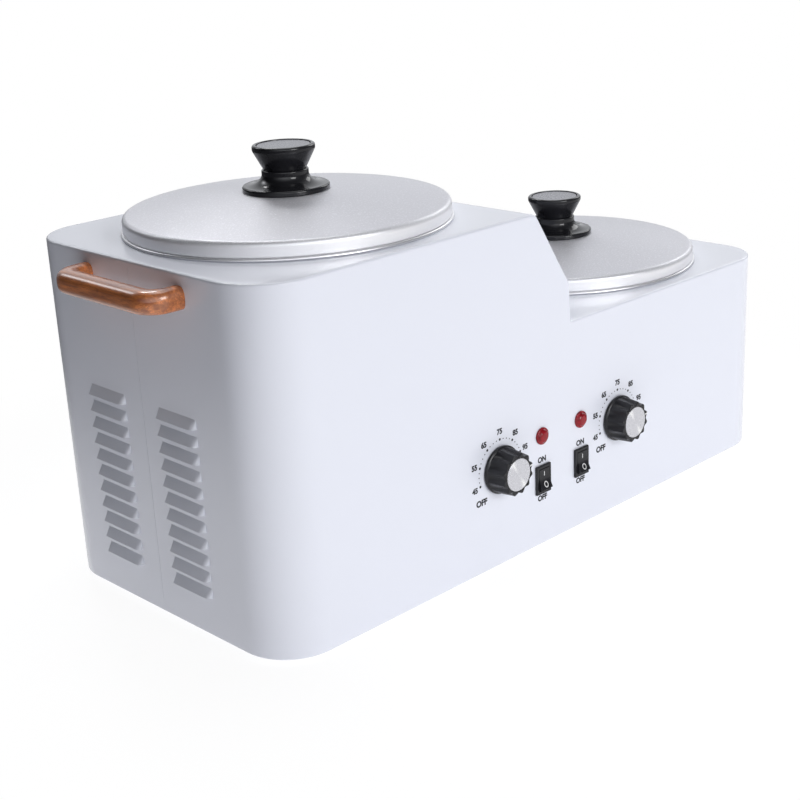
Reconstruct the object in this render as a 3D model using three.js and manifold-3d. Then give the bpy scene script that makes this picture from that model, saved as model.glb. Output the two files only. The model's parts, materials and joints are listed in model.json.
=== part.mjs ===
// Twin-pot wax warmer: a stepped sheet-metal case with two heated pots, millimetres, +Z up.
// The case stands on four rubber feet. The deep pot is on the left, the shallow one on the right.
// Sub-parts are built round the case's own middle, and the whole is shifted so that the origin
// lies under the middle of everything, knobs and inlet included.

import * as THREE from 'three';
import { mergeVertices } from 'three/addons/utils/BufferGeometryUtils.js';
import Module from 'manifold-3d';

const wasm = await Module();
wasm.setup();

// General clearances and finish of curves
const overrun = 3;
const seatGap = 0.3;
const runningGap = 0.3;
const roundSides = 28;
const knobSides = 20;
const smallSides = 12;
const screwSides = 8;
const arcSteps = 4;
const planSteps = 5;
const fullTurn = 2 * Math.PI;
const quarterTurn = Math.PI / 2;

// Case
const highDeck = 234.2;
const lowDeck = 153.8;
const planRadius = 36;
const sheet = 1.2;
const edgeRadius = 2.5;
const deckLip = 4;
const footReach = 4;
const slopeFootHeight = 181;
const slopeRun = 33.7;
const riserRun = 1.4;
const topBend = 8;
const footBend = 9;
const flangeWidth = 14;
const seamGap = 0.3;
const seamY = 3;

// Louvres, pressed outwards from the end walls
const louvrePitch = 11.1;
const louvreHeight = 6.2;
const louvreReach = 3.6;
const louvreTaper = 4.2;
const louvreSheet = 1;
const louvreLowestTop = 34;
const louvreCountLeft = 11;
const louvreCountRight = 7;
const louvreLength = 37;
const louvreFrontY = -33;
const louvreRearY = 40;
const louvreSteps = 2;

// Wooden bow handles
const handleSpan = 106;
const handleReach = 32;
const handleHeight = 14.5;
const handleBar = 15.5;
const handleLeg = 12;
const handleSplay = 4;
const handleOuterRadius = 17;
const handleInnerRadius = 8;
const handleEdge = 5;
const handleBelowDeck = 14.8;
const handleScrewRadius = 2;
const handleScrewHead = 4;
const handleScrewHeadThickness = 2.4;
const handleScrewLength = 18;

// Pots, wells and lids, and how far the pots' walls stand from the case's ends, front and step
const potRadius = 98;
const potToLeftEnd = 26.7;
const potToRightEnd = 17.9;
const potToFront = 20;
const potToSlope = 10.1;
const riserToPot = 26.8;
const potWall = 1.5;
const potCorner = 10;
const potDepthLeft = 150;
const potDepthRight = 88;
const rimWidth = 10.6;
const rimBead = 1;
const rimThickness = 2;
const mouthRound = 1;
const wellWall = 1.2;
const wellClearance = 1;
const wellFlange = 5;
const wellFlangeThickness = 1;
const wellBottomGap = 1.2;
const lidOverhang = 7.6;
const lidSkirt = 9.8;
const lidShoulder = 4;
const lidRise = 6.6;
const lidSheet = 1.5;
const lidSeatMargin = 0.7;
const collarClearance = 1.4;
const collarDepth = 1.7;

// Lid knobs
const knobFlangeRadius = 28.3;
const knobFlangeThickness = 3.6;
const knobFlangeRound = 1.2;
const knobNeckRadius = 15.2;
const knobNeckHeight = 16;
const knobNeckStraight = 4;
const gripFootRadius = 13.8;
const gripTopRadius = 20.3;
const gripHeight = 17.5;
const gripRound = 2.4;
const gripRim = 2.6;
const gripDish = 1.2;
const discThickness = 0.7;
const lidScrewRadius = 2.2;
const lidScrewHead = 5;
const lidScrewHeadThickness = 2.6;
const lidScrewLength = 24;

// Heaters and insulation
const bandThickness = 3;
const bandHeight = 44;
const bandGapHalfAngle = 0.09;
const bandAboveBottom = 6;
const earLength = 9;
const earThickness = 2;
const earHeight = 16;
const clampScrewRadius = 1.8;
const clampScrewHead = 3.2;
const clampScrewHeadThickness = 2;
const insulationThickness = 6;
const insulationBelowDeck = 20;
const insulationGapHalfAngle = 0.22;

// Front controls
const controlsMiddleX = 1.7;
const dialHalfSpacing = 63;
const switchHalfSpacing = 20.7;
const dialHeight = 69.5;
const switchHeight = 49;
const lampHeight = 80.4;

// Dial knobs and thermostats
const dialFlangeRadius = 15.9;
const dialFlangeThickness = 1.8;
const dialBodyRadius = 14.7;
const dialFrontRadius = 13.5;
const dialFrontChamfer = 1;
const dialReach = 16.2;
const dialStandOff = 0.6;
const dialFlutes = 12;
const dialFluteDepth = 1.5;
const dialStepsPerFlute = 4;
const dialCapRadius = 10.6;
const dialCapRecess = 0.8;
const dialCapThickness = 0.9;
const dialBackRadius = 10;
const dialBackDepth = 4.2;
const shaftRadius = 3;
const shaftFlatDepth = 0.6;
const shaftFrontReach = 11;
const shaftBackReach = 9;
const bushRadius = 4.8;
const bushReach = 3.6;
const nutRadius = 7.5;
const nutThickness = 2.2;
const thermostatWidth = 34;
const thermostatHeight = 40;
const thermostatDepth = 19;
const thermostatCorner = 3;
const capillaryRadius = 1;
const bulbRadius = 3;
const bulbLength = 62;
const capillaryLength = 34;
const bulbNose = 2;

// Rocker switches
const bezelWidth = 15;
const bezelHeight = 21;
const bezelThickness = 2;
const bezelCorner = 0.8;
const bezelEdge = 0.5;
const switchBodyWidth = 13;
const switchBodyHeight = 18.8;
const switchBodyDepth = 15;
const rockerWidth = 10.4;
const rockerRadius = 8;
const rockerCornerAngle = 0.48;
const rockerBackAngle = 0.44;
const rockerMiddleReach = 2.4;
const rockerTilt = 12;
const rockerPocketDepth = 6.4;
const tabWidth = 4.8;
const tabThickness = 0.8;
const tabLength = 8;
const tabSpacing = 7;

// Indicator lamps
const lensRadius = 6.3;
const lensRim = 1.2;
const lensDomeRadius = 5.1;
const lensDome = 2.2;
const lampBodyRadius = 4.7;
const lampBodyLength = 17;
const lampNutRadius = 7;
const lampNutThickness = 2.4;

// Power inlet in the rear wall
const inletX = 4.7;
const inletHeight = 46;
const inletFlangeWidth = 30.6;
const inletFlangeHeight = 23;
const inletFlangeThickness = 2.4;
const inletBodyWidth = 27;
const inletBodyHeight = 19.6;
const inletDepth = 22;
const inletCorner = 2;
const socketWidth = 24.2;
const socketHeight = 16.4;
const socketDepth = 16;
const socketBevel = 5;
const pinWidth = 2;
const pinHeight = 4;
const pinReach = 13;
const pinTail = 9;
const pinSpacing = 7;
const earthRise = 3;
const pinDrop = 2;

// Base, feet, terminal block and small fasteners
const footRadius = 9;
const footBottomRadius = 8;
const footInset = 34;
const footStem = 3.2;
const footBarb = 4.4;
const footBarbHeight = 4;
const footTip = 2.2;
const screwTail = 3;
const baseScrewRadius = 1.6;
const baseScrewInset = 8;
const baseScrewSpacing = 150;
const terminalLength = 58;
const terminalWidth = 18;
const terminalHeight = 15;
const terminalWays = 5;
const terminalWellRadius = 3;
const terminalWellDepth = 6;
const terminalY = 30;

// Finishes
const casePaint = { color: 0xdfe3ee, roughness: 0.22, metalness: 0 };
const spunAluminium = { color: 0xb9bbc2, roughness: 0.42, metalness: 0.9 };
const potAluminium = { color: 0xc2c3c8, roughness: 0.32, metalness: 0.95 };
const blackGloss = { color: 0x0d0d0f, roughness: 0.12, metalness: 0 };
const blackSatin = { color: 0x1b1c20, roughness: 0.4, metalness: 0 };
const lacqueredWood = { color: 0x8a3d1c, roughness: 0.22, metalness: 0 };
const redLens = { color: 0xb00d12, roughness: 0.15, metalness: 0 };
const silverDisc = { color: 0xd6d6da, roughness: 0.3, metalness: 0.9 };
const greyDisc = { color: 0x8d8e94, roughness: 0.35, metalness: 0.3 };
const steel = { color: 0x9a9ca0, roughness: 0.38, metalness: 1 };
const brass = { color: 0xb08d4a, roughness: 0.35, metalness: 1 };
const rubber = { color: 0x17171a, roughness: 0.85, metalness: 0 };
const glassWool = { color: 0xe4dcc2, roughness: 1, metalness: 0 };
const micaBand = { color: 0x8f867a, roughness: 0.55, metalness: 0.5 };
const paleNylon = { color: 0xdedcd2, roughness: 0.5, metalness: 0 };

// Sizes that follow from the ones above
const stepLength = potToSlope + slopeRun + riserRun + riserToPot;
const caseLength = potToLeftEnd + 4 * potRadius + stepLength + potToRightEnd;
const caseDepth = 2 * (potRadius + potToFront);
const endX = caseLength / 2;
const frontY = caseDepth / 2;
const potLeftX = -endX + potToLeftEnd + potRadius;
const potRightX = endX - potToRightEnd - potRadius;
const slopeTopX = potLeftX + potRadius + potToSlope;
const slopeFootX = slopeTopX + slopeRun;
const riserFootX = slopeFootX + riserRun;
const rimRadius = potRadius + rimWidth;
const lidRadius = potRadius + lidOverhang;
const lidSeatRadius = knobFlangeRadius + lidSeatMargin;
const caseBottom = footReach;
const highZ = caseBottom + highDeck;
const lowZ = caseBottom + lowDeck;
const wellRadius = potRadius + wellClearance;
const wellOuter = wellRadius + wellWall;
const lidBottom = rimThickness;
const baseBottom = caseBottom + sheet;
const rearReach = inletFlangeThickness;
const middleY = (dialReach - rearReach) / 2;
const dialXs = { left: controlsMiddleX - dialHalfSpacing, right: controlsMiddleX + dialHalfSpacing };
const switchXs = {
  left: controlsMiddleX - switchHalfSpacing,
  right: controlsMiddleX + switchHalfSpacing,
};
const pots = {
  left: { x: potLeftX, z: highZ, depth: potDepthLeft },
  right: { x: potRightX, z: lowZ, depth: potDepthRight },
};

// Solids and booleans

function flipInwardFaces(geometry) {
  const position = geometry.attributes.position;
  const index = geometry.index;
  const [a, b, c] = [new THREE.Vector3(), new THREE.Vector3(), new THREE.Vector3()];
  let volume = 0;
  for (let i = 0; i < index.count; i += 3) {
    a.fromBufferAttribute(position, index.getX(i));
    b.fromBufferAttribute(position, index.getX(i + 1));
    c.fromBufferAttribute(position, index.getX(i + 2));
    volume += a.dot(b.cross(c));
  }
  if (volume < 0) {
    for (let i = 0; i < index.count; i += 3) {
      const first = index.getX(i);
      index.setX(i, index.getX(i + 1));
      index.setX(i + 1, first);
    }
  }
  return geometry;
}

function solidOf(geometry) {
  const bare = geometry.clone();
  bare.deleteAttribute('normal');
  bare.deleteAttribute('uv');
  const merged = flipInwardFaces(mergeVertices(bare));
  const mesh = new wasm.Mesh({
    numProp: 3,
    vertProperties: new Float32Array(merged.attributes.position.array),
    triVerts: new Uint32Array(merged.index.array),
  });
  return new wasm.Manifold(mesh);
}

function geometryOf(solid) {
  const mesh = solid.getMesh();
  const geometry = new THREE.BufferGeometry();
  geometry.setAttribute('position', new THREE.BufferAttribute(mesh.vertProperties.slice(), 3));
  geometry.setIndex(new THREE.BufferAttribute(mesh.triVerts.slice(), 1));
  geometry.computeVertexNormals();
  return geometry;
}

function join(solids) {
  return solids.reduce((whole, solid) => whole.add(solid));
}

// A path whose marked corners are rounded: each vertex is [x, y] or [x, y, radius].
function roundedPath(vertices, closed) {
  const count = vertices.length;
  const points = [];
  vertices.forEach(([x, y, radius], i) => {
    const isEnd = !closed && (i === 0 || i === count - 1);
    if (!radius || isEnd) {
      points.push(new THREE.Vector2(x, y));
      return;
    }
    const corner = new THREE.Vector2(x, y);
    const before = vertices[(i + count - 1) % count];
    const after = vertices[(i + 1) % count];
    const toBefore = new THREE.Vector2(before[0] - x, before[1] - y).normalize();
    const toAfter = new THREE.Vector2(after[0] - x, after[1] - y).normalize();
    const half = Math.acos(THREE.MathUtils.clamp(toBefore.dot(toAfter), -1, 1)) / 2;
    const reach = radius / Math.tan(half);
    const start = corner.clone().addScaledVector(toBefore, reach);
    const end = corner.clone().addScaledVector(toAfter, reach);
    const toCentre = toBefore.clone().add(toAfter).normalize();
    const centre = corner.clone().addScaledVector(toCentre, radius / Math.sin(half));
    const from = Math.atan2(start.y - centre.y, start.x - centre.x);
    let sweep = Math.atan2(end.y - centre.y, end.x - centre.x) - from;
    if (sweep > Math.PI) sweep -= fullTurn;
    if (sweep < -Math.PI) sweep += fullTurn;
    for (let step = 0; step <= arcSteps; step += 1) {
      const angle = from + (sweep * step) / arcSteps;
      points.push(
        new THREE.Vector2(centre.x + radius * Math.cos(angle), centre.y + radius * Math.sin(angle)),
      );
    }
  });
  return points;
}

// An open path moved sideways to its right by a distance, with mitred corners.
function offsetPath(points, distance) {
  return points.map((point, i) => {
    const before = points[Math.max(i - 1, 0)];
    const after = points[Math.min(i + 1, points.length - 1)];
    const arriving = (i === 0 ? after.clone().sub(point) : point.clone().sub(before)).normalize();
    const leaving = (after === point ? point.clone().sub(before) : after.clone().sub(point)).normalize();
    const mitre = arriving.clone().add(leaving).normalize();
    const share = distance / Math.max(mitre.dot(leaving), Number.EPSILON);
    return new THREE.Vector2(point.x + mitre.y * share, point.y - mitre.x * share);
  });
}

function rectangle(width, height, radius) {
  const [x, y] = [width / 2, height / 2];
  return roundedPath([[-x, -y, radius], [x, -y, radius], [x, y, radius], [-x, y, radius]], true);
}

// An outline in the XY plane raised along +Z from zero.
function prism(outline, height) {
  const shape = new THREE.Shape(outline);
  return new THREE.ExtrudeGeometry(shape, { depth: height, bevelEnabled: false });
}

// An outline raised along +Z whose edges are rounded inside the outline.
function softPrism(outline, height, edge, steps) {
  const shape = new THREE.Shape(outline);
  const geometry = new THREE.ExtrudeGeometry(shape, {
    depth: height - 2 * edge,
    bevelEnabled: true,
    bevelSize: edge,
    bevelThickness: edge,
    bevelOffset: -edge,
    bevelSegments: steps,
  });
  return geometry.translate(0, 0, edge);
}

// A profile of [radius, height] pairs turned about the +Z axis.
function turned(profile, sides) {
  const points = profile.map(([radius, height]) => new THREE.Vector2(radius, height));
  return new THREE.LatheGeometry(points, sides).rotateX(quarterTurn);
}

function closedProfile(profile) {
  return [...profile, profile[0]];
}

function rod(radius, from, to, sides = smallSides) {
  return turned([[0, from], [radius, from], [radius, to], [0, to]], sides);
}

// The points of an arc of [radius, height] pairs, from one angle to another about a centre.
function arc(centreRadius, centreHeight, radius, from, to, steps = arcSteps) {
  return Array.from({ length: steps + 1 }, (_, step) => {
    const angle = from + ((to - from) * step) / steps;
    return [centreRadius + radius * Math.cos(angle), centreHeight + radius * Math.sin(angle)];
  });
}

// The radius at which a polygon's flats, not its corners, lie on the circle.
function snug(radius, sides) {
  return radius / Math.cos(Math.PI / sides);
}

// Rings with the same number of points, skinned in order and closed by flat fans at both ends.
function loft(rings) {
  const sides = rings[0].length;
  const vertices = rings.flat();
  const faces = [];
  for (let ring = 0; ring < rings.length - 1; ring += 1) {
    for (let side = 0; side < sides; side += 1) {
      const a = ring * sides + side;
      const b = ring * sides + ((side + 1) % sides);
      faces.push(a, b, b + sides, a, b + sides, a + sides);
    }
  }
  const ends = [rings[0], rings[rings.length - 1]];
  ends.forEach((ring, which) => {
    const middle = ring.reduce((sum, point) => sum.add(point), new THREE.Vector3());
    vertices.push(middle.divideScalar(sides));
    const first = which === 0 ? 0 : (rings.length - 1) * sides;
    for (let side = 0; side < sides; side += 1) {
      const pair = [first + side, first + ((side + 1) % sides)];
      if (which === 0) pair.reverse();
      faces.push(...pair, vertices.length - 1);
    }
  });
  const geometry = new THREE.BufferGeometry().setFromPoints(vertices);
  return geometry.setIndex(faces);
}

// Places a solid that was built along +Z so that +Z points out of the front wall.
function facingFront(geometry, x, height) {
  return geometry.rotateX(quarterTurn).translate(x, -frontY, caseBottom + height);
}

// Places a solid that was built along +Z so that +Z points out of the rear wall.
function facingRear(geometry, x, height) {
  return geometry.rotateX(-quarterTurn).translate(x, frontY, caseBottom + height);
}

// Case

// The height of the case along its length: high deck, slope, riser and low deck.
function deckProfile() {
  return roundedPath([
    [-endX, highZ],
    [slopeTopX, highZ, topBend],
    [slopeFootX, caseBottom + slopeFootHeight, footBend],
    [riserFootX, lowZ],
    [endX, lowZ],
  ], false);
}

// Stations from left to right along the plan outline, drawn in by an inset: each has its x,
// half the depth there, and the outward direction on the rear side.
function stations(profile, inset) {
  const radius = planRadius - inset;
  const corner = endX - planRadius;
  const depth = frontY - planRadius;
  const arcs = Array.from({ length: planSteps + 1 }, (_, step) => {
    const angle = (quarterTurn * step) / planSteps;
    return { out: Math.cos(angle), side: Math.sin(angle) };
  });
  const left = arcs.map(({ out, side }) => ({
    x: -corner - radius * out, half: depth + radius * side, nx: -out, ny: side,
  }));
  const right = arcs.map(({ out, side }) => ({
    x: corner + radius * out, half: depth + radius * side, nx: out, ny: side,
  })).reverse();
  const between = profile
    .filter((point) => Math.abs(point.x) < corner)
    .map((point) => ({ x: point.x, half: frontY - inset, nx: 0, ny: 1 }));
  return [...left, ...between, ...right];
}

function heightAt(profile, x) {
  const last = profile.length - 1;
  if (x <= profile[0].x) return profile[0].y;
  if (x >= profile[last].x) return profile[last].y;
  const i = profile.findIndex((point) => point.x >= x);
  const [from, to] = [profile[i - 1], profile[i]];
  return from.y + ((to.y - from.y) * (x - from.x)) / (to.x - from.x);
}

// A block with the case's plan outline and a stepped top, its top edge rounded by a radius.
function steppedBlock({ profile, inset, bottom, radius }) {
  const path = stations(profile, inset);
  const levels = [{ inward: 0, height: () => bottom }];
  const steps = radius ? arcSteps / 2 : 0;
  for (let step = 0; step <= steps; step += 1) {
    const angle = steps ? (quarterTurn * step) / steps : quarterTurn;
    const inward = radius * (1 - Math.cos(angle));
    const drop = radius * (1 - Math.sin(angle));
    levels.push({ inward, height: (top) => top - drop });
  }
  const vertices = [];
  levels.forEach(({ inward, height }) => {
    path.forEach(({ x, half, nx, ny }) => {
      const z = height(heightAt(profile, x));
      vertices.push(new THREE.Vector3(x - inward * nx, -(half - inward * ny), z));
      vertices.push(new THREE.Vector3(x - inward * nx, half - inward * ny, z));
    });
  });
  const faces = [];
  const quad = (a, b, c, d) => faces.push(a, b, c, a, c, d);
  const at = (level, station, rear) => (level * path.length + station) * 2 + rear;
  const lastStation = path.length - 1;
  const lastLevel = levels.length - 1;
  for (let level = 0; level < lastLevel; level += 1) {
    for (let i = 0; i < lastStation; i += 1) {
      quad(at(level, i, 0), at(level, i + 1, 0), at(level + 1, i + 1, 0), at(level + 1, i, 0));
      quad(at(level, i + 1, 1), at(level, i, 1), at(level + 1, i, 1), at(level + 1, i + 1, 1));
    }
    quad(at(level, 0, 1), at(level, 0, 0), at(level + 1, 0, 0), at(level + 1, 0, 1));
    const end = lastStation;
    quad(at(level, end, 0), at(level, end, 1), at(level + 1, end, 1), at(level + 1, end, 0));
  }
  for (let i = 0; i < lastStation; i += 1) {
    quad(at(0, i, 0), at(0, i, 1), at(0, i + 1, 1), at(0, i + 1, 0));
    const top = lastLevel;
    quad(at(top, i, 0), at(top, i + 1, 0), at(top, i + 1, 1), at(top, i, 1));
  }
  const geometry = new THREE.BufferGeometry().setFromPoints(vertices);
  return solidOf(geometry.setIndex(faces));
}

function raisedProfile(profile, rise) {
  return profile.map((point) => new THREE.Vector2(point.x, point.y + rise));
}

// The wall all round the case, under the deck's lip.
function wallRing() {
  const profile = raisedProfile(deckProfile(), -deckLip);
  const outside = steppedBlock({ profile, inset: 0, bottom: caseBottom, radius: 0 });
  const inside = steppedBlock({
    profile: raisedProfile(profile, deckLip + overrun),
    inset: sheet,
    bottom: caseBottom - overrun,
    radius: 0,
  });
  return outside.subtract(inside);
}

// The inward flange that carries the base.
function bottomFlange() {
  const level = [new THREE.Vector2(-endX, baseBottom), new THREE.Vector2(endX, baseBottom)];
  const outside = steppedBlock({ profile: level, inset: 0, bottom: caseBottom, radius: 0 });
  const inside = steppedBlock({
    profile: raisedProfile(level, overrun),
    inset: flangeWidth,
    bottom: caseBottom - overrun,
    radius: 0,
  });
  return outside.subtract(inside);
}

// One louvre's form: level sections that swell outwards and draw in at their ends going down.
// Sections lie in u along the wall, v up it and w out of it.
function louvreForm({ length, top, bottom, reach, taper, back }) {
  return Array.from({ length: louvreSteps + 1 }, (_, step) => {
    const share = Math.sin((quarterTurn * step) / louvreSteps);
    const v = top + ((bottom - top) * step) / louvreSteps;
    const outer = length / 2 - taper * share;
    return [
      { u: -length / 2, v, w: back },
      { u: length / 2, v, w: back },
      { u: outer, v, w: reach * share },
      { u: -outer, v, w: reach * share },
    ];
  });
}

function placedLouvre(form, side, y, top) {
  const rings = form.map((section) => section.map(({ u, v, w }) => (
    new THREE.Vector3(side * (endX + w), y + u, top + v)
  )));
  return solidOf(loft(rings));
}

function louvreTops(count) {
  return Array.from({ length: count }, (_, i) => caseBottom + louvreLowestTop + i * louvrePitch);
}

function addLouvres(wall, y) {
  const outer = louvreForm({
    length: louvreLength,
    top: 0,
    bottom: -louvreHeight,
    reach: louvreReach,
    taper: louvreTaper,
    back: -sheet,
  });
  const inner = louvreForm({
    length: louvreLength - 2 * louvreSheet,
    top: -louvreSheet,
    bottom: -louvreHeight - seamGap,
    reach: louvreReach - louvreSheet,
    taper: louvreTaper,
    back: -sheet - overrun,
  });
  const rows = [
    ...louvreTops(louvreCountLeft).map((top) => ({ side: -1, top })),
    ...louvreTops(louvreCountRight).map((top) => ({ side: 1, top })),
  ];
  const hoods = rows.map(({ side, top }) => placedLouvre(outer, side, y, top));
  const throats = rows.map(({ side, top }) => placedLouvre(inner, side, y, top));
  return wall.add(join(hoods)).subtract(join(throats));
}

// The part of a case solid in front of the end seams, or behind them.
function halfOf(solid, side) {
  const size = caseLength + caseDepth;
  const y = seamY + (side * (size + seamGap)) / 2;
  return solid.intersect(solidOf(new THREE.BoxGeometry(size, size, size).translate(0, y, size / 2)));
}

function frontHoles() {
  const through = sheet + 2 * overrun;
  const hole = (radius, x, height) => (
    solidOf(facingFront(rod(radius, -sheet - overrun, overrun), x, height))
  );
  const cutOuts = Object.values(switchXs).map((x) => {
    const outline = rectangle(switchBodyWidth + 2 * runningGap, switchBodyHeight + 2 * runningGap);
    const cut = prism(outline, through).translate(0, 0, -sheet - overrun);
    return solidOf(facingFront(cut, x, switchHeight));
  });
  return join([
    ...Object.values(dialXs).map((x) => hole(bushRadius + runningGap, x, dialHeight)),
    ...Object.values(switchXs).map((x) => hole(lampBodyRadius + runningGap, x, lampHeight)),
    ...cutOuts,
  ]);
}

function handlePlaces() {
  return {
    left: { side: -1, height: highZ - handleBelowDeck },
    right: { side: 1, height: lowZ - handleBelowDeck },
  };
}

function handleScrewPlaces({ side, height }) {
  const y = handleSpan / 2 - handleLeg / 2;
  return [{ end: 'front', side, y: -y, z: height }, { end: 'rear', side, y, z: height }];
}

// Places a solid that was built along +Z so that +Z points out of an end wall.
function facingEnd(geometry, side, y, z) {
  return geometry.rotateY(side * quarterTurn).translate(side * endX, y, z);
}

function handleScrewHoles() {
  const places = Object.values(handlePlaces()).flatMap(handleScrewPlaces);
  return join(places.map(({ side, y, z }) => {
    const hole = rod(handleScrewRadius + runningGap, -sheet - overrun, overrun, screwSides);
    return solidOf(facingEnd(hole, side, y, z));
  }));
}

function baseScrewPlaces() {
  const y = frontY - baseScrewInset;
  const xs = [-baseScrewSpacing, 0, baseScrewSpacing];
  return xs.flatMap((x) => [{ x, y: -y }, { x, y }]);
}

function footPlaces() {
  const [x, y] = [endX - footInset, frontY - footInset];
  return {
    front_left: { x: -x, y: -y },
    front_right: { x, y: -y },
    rear_left: { x: -x, y },
    rear_right: { x, y },
  };
}

function screwHoles(places, radius) {
  const top = baseBottom + sheet + overrun;
  return join(places.map(({ x, y }) => (
    solidOf(rod(radius, caseBottom - overrun, top, screwSides).translate(x, y, 0))
  )));
}

function caseWalls() {
  const ring = wallRing().add(bottomFlange());
  return ring.subtract(handleScrewHoles()).subtract(screwHoles(baseScrewPlaces(), baseScrewRadius));
}

function frontShell(walls) {
  return addLouvres(halfOf(walls, -1), louvreFrontY).subtract(frontHoles());
}

function rearShell(walls) {
  const opening = rectangle(
    inletBodyWidth + 2 * runningGap,
    inletBodyHeight + 2 * runningGap,
    inletCorner + runningGap,
  );
  const cut = prism(opening, sheet + 2 * overrun).translate(0, 0, -sheet - overrun);
  return addLouvres(halfOf(walls, 1), louvreRearY)
    .subtract(solidOf(facingRear(cut, inletX, inletHeight)));
}

// The stepped deck with its rounded edge and lip, and an opening for each well.
function topDeck() {
  const profile = deckProfile();
  const outside = steppedBlock({ profile, inset: 0, bottom: caseBottom, radius: edgeRadius });
  const inside = steppedBlock({
    profile: offsetPath(profile, sheet),
    inset: sheet,
    bottom: caseBottom - overrun,
    radius: 0,
  });
  const holes = Object.values(pots).map(({ x, z }) => (
    solidOf(rod(wellRadius, z - deckLip, z + overrun, roundSides).translate(x, 0, 0))
  ));
  return outside.subtract(wallRing()).subtract(inside).subtract(join(holes));
}

function basePlate() {
  const top = baseBottom + sheet;
  const level = [new THREE.Vector2(-endX, top), new THREE.Vector2(endX, top)];
  const plate = steppedBlock({ profile: level, inset: sheet + seatGap, bottom: baseBottom, radius: 0 });
  return plate
    .subtract(screwHoles(baseScrewPlaces(), baseScrewRadius))
    .subtract(screwHoles(Object.values(footPlaces()), footStem + runningGap));
}

// A rubber foot whose barbed stem is pushed through the base.
function foot({ x, y }) {
  const barb = baseBottom + sheet + seatGap;
  const profile = [
    [0, 0],
    [footBottomRadius, 0],
    [footRadius, footReach],
    [footRadius, baseBottom],
    [footStem, baseBottom],
    [footStem, barb],
    [footBarb, barb],
    [footTip, barb + footBarbHeight],
    [0, barb + footBarbHeight],
  ];
  return solidOf(turned(profile, smallSides).translate(x, y, 0));
}

// A pan-head screw with its head's underside at zero and its shank along +Z.
function screw({ radius, head, headThickness, length }) {
  return turned([
    [0, -headThickness],
    [head * Math.SQRT1_2, -headThickness],
    [head, -headThickness / 2],
    [head, 0],
    [radius, 0],
    [radius, length],
    [0, length],
  ], screwSides);
}

// Handles

// A bow of wood with rounded bends and edges, its two legs cut flat where they meet the wall.
function handle({ side, height }) {
  const outer = handleSpan / 2;
  const inner = outer - handleLeg;
  const bar = handleReach - handleBar;
  const outline = roundedPath([
    [-handleEdge, -outer],
    [handleReach, -outer + handleSplay, handleOuterRadius],
    [handleReach, outer - handleSplay, handleOuterRadius],
    [-handleEdge, outer],
    [-handleEdge, inner],
    [bar, inner - handleSplay, handleInnerRadius],
    [bar, -inner + handleSplay, handleInnerRadius],
    [-handleEdge, -inner],
  ], true);
  const bow = softPrism(outline, handleHeight, handleEdge, arcSteps / 2)
    .translate(0, 0, -handleHeight / 2);
  const behind = new THREE.BoxGeometry(handleSpan, 2 * handleSpan, handleSpan)
    .translate(-handleSpan / 2, 0, 0);
  const bores = handleScrewPlaces({ side: 1, height: 0 }).map(({ y }) => (
    solidOf(rod(handleScrewRadius + runningGap, -overrun, handleScrewLength, screwSides)
      .rotateY(quarterTurn).translate(0, y, 0))
  ));
  const trimmed = solidOf(bow).subtract(solidOf(behind)).subtract(join(bores));
  const placed = geometryOf(trimmed);
  if (side < 0) placed.rotateZ(Math.PI);
  return solidOf(placed.translate(side * endX, 0, height));
}

function handleScrew({ side, y, z }) {
  const geometry = screw({
    radius: handleScrewRadius,
    head: handleScrewHead,
    headThickness: handleScrewHeadThickness,
    length: handleScrewLength - 2 * seatGap,
  }).translate(0, 0, -sheet - seatGap);
  return solidOf(facingEnd(geometry, side, y, z));
}

// Pots, wells, heaters and lids

// A spun pot: rounded foot, straight wall, flat flange and a rolled bead round the rim.
function pot({ x, z, depth }) {
  const inner = potRadius - potWall;
  const top = rimThickness;
  const bottom = top - depth;
  const bead = rimRadius - rimBead;
  const profile = [
    [0, bottom],
    ...arc(potRadius - potCorner, bottom + potCorner, potCorner, -quarterTurn, 0, arcSteps / 2),
    [potRadius, 0],
    [bead - rimBead, 0],
    ...arc(bead, top - rimBead, rimBead, -quarterTurn, quarterTurn, arcSteps / 2),
    [inner + mouthRound, top],
    [inner, top - mouthRound],
    ...arc(potRadius - potCorner, bottom + potCorner, potCorner - potWall, 0, -quarterTurn, arcSteps / 2),
    [0, bottom + potWall],
  ];
  return solidOf(turned(profile, roundSides).translate(x, 0, z));
}

function wellBottom({ z, depth }) {
  return z + rimThickness - depth - wellBottomGap - wellWall;
}

// The heated cup round the pot, its flange against the underside of the deck.
function well(place) {
  const bottom = wellBottom(place) - place.z;
  const rim = -sheet - seatGap;
  const profile = [
    [0, bottom],
    ...arc(wellOuter - potCorner, bottom + potCorner, potCorner, -quarterTurn, 0, arcSteps / 2),
    [wellOuter, rim - wellFlangeThickness],
    [wellRadius + wellFlange, rim - wellFlangeThickness],
    [wellRadius + wellFlange, rim],
    [wellRadius, rim],
    ...arc(wellOuter - potCorner, bottom + potCorner, potCorner - wellWall, 0, -quarterTurn, arcSteps / 2),
    [0, bottom + wellWall],
  ];
  return solidOf(turned(profile, roundSides).translate(place.x, 0, place.z));
}

// A ring that is open over a gap about the +X direction.
function splitRing(inner, outer, height, gapHalfAngle) {
  const steps = knobSides;
  const sweep = (radius, from, to) => Array.from({ length: steps + 1 }, (_, step) => {
    const angle = from + ((to - from) * step) / steps;
    return new THREE.Vector2(radius * Math.cos(angle), radius * Math.sin(angle));
  });
  const from = gapHalfAngle;
  const to = fullTurn - gapHalfAngle;
  return prism([...sweep(outer, from, to), ...sweep(inner, to, from)], height);
}

function towardsMiddle(geometry, place) {
  return place.x < 0 ? geometry : geometry.rotateZ(Math.PI);
}

const bandInner = snug(wellOuter + seatGap, knobSides);

function bandBottom(place) {
  return wellBottom(place) + potCorner + bandAboveBottom;
}

function earFaceY() {
  return bandInner * Math.sin(bandGapHalfAngle);
}

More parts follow.
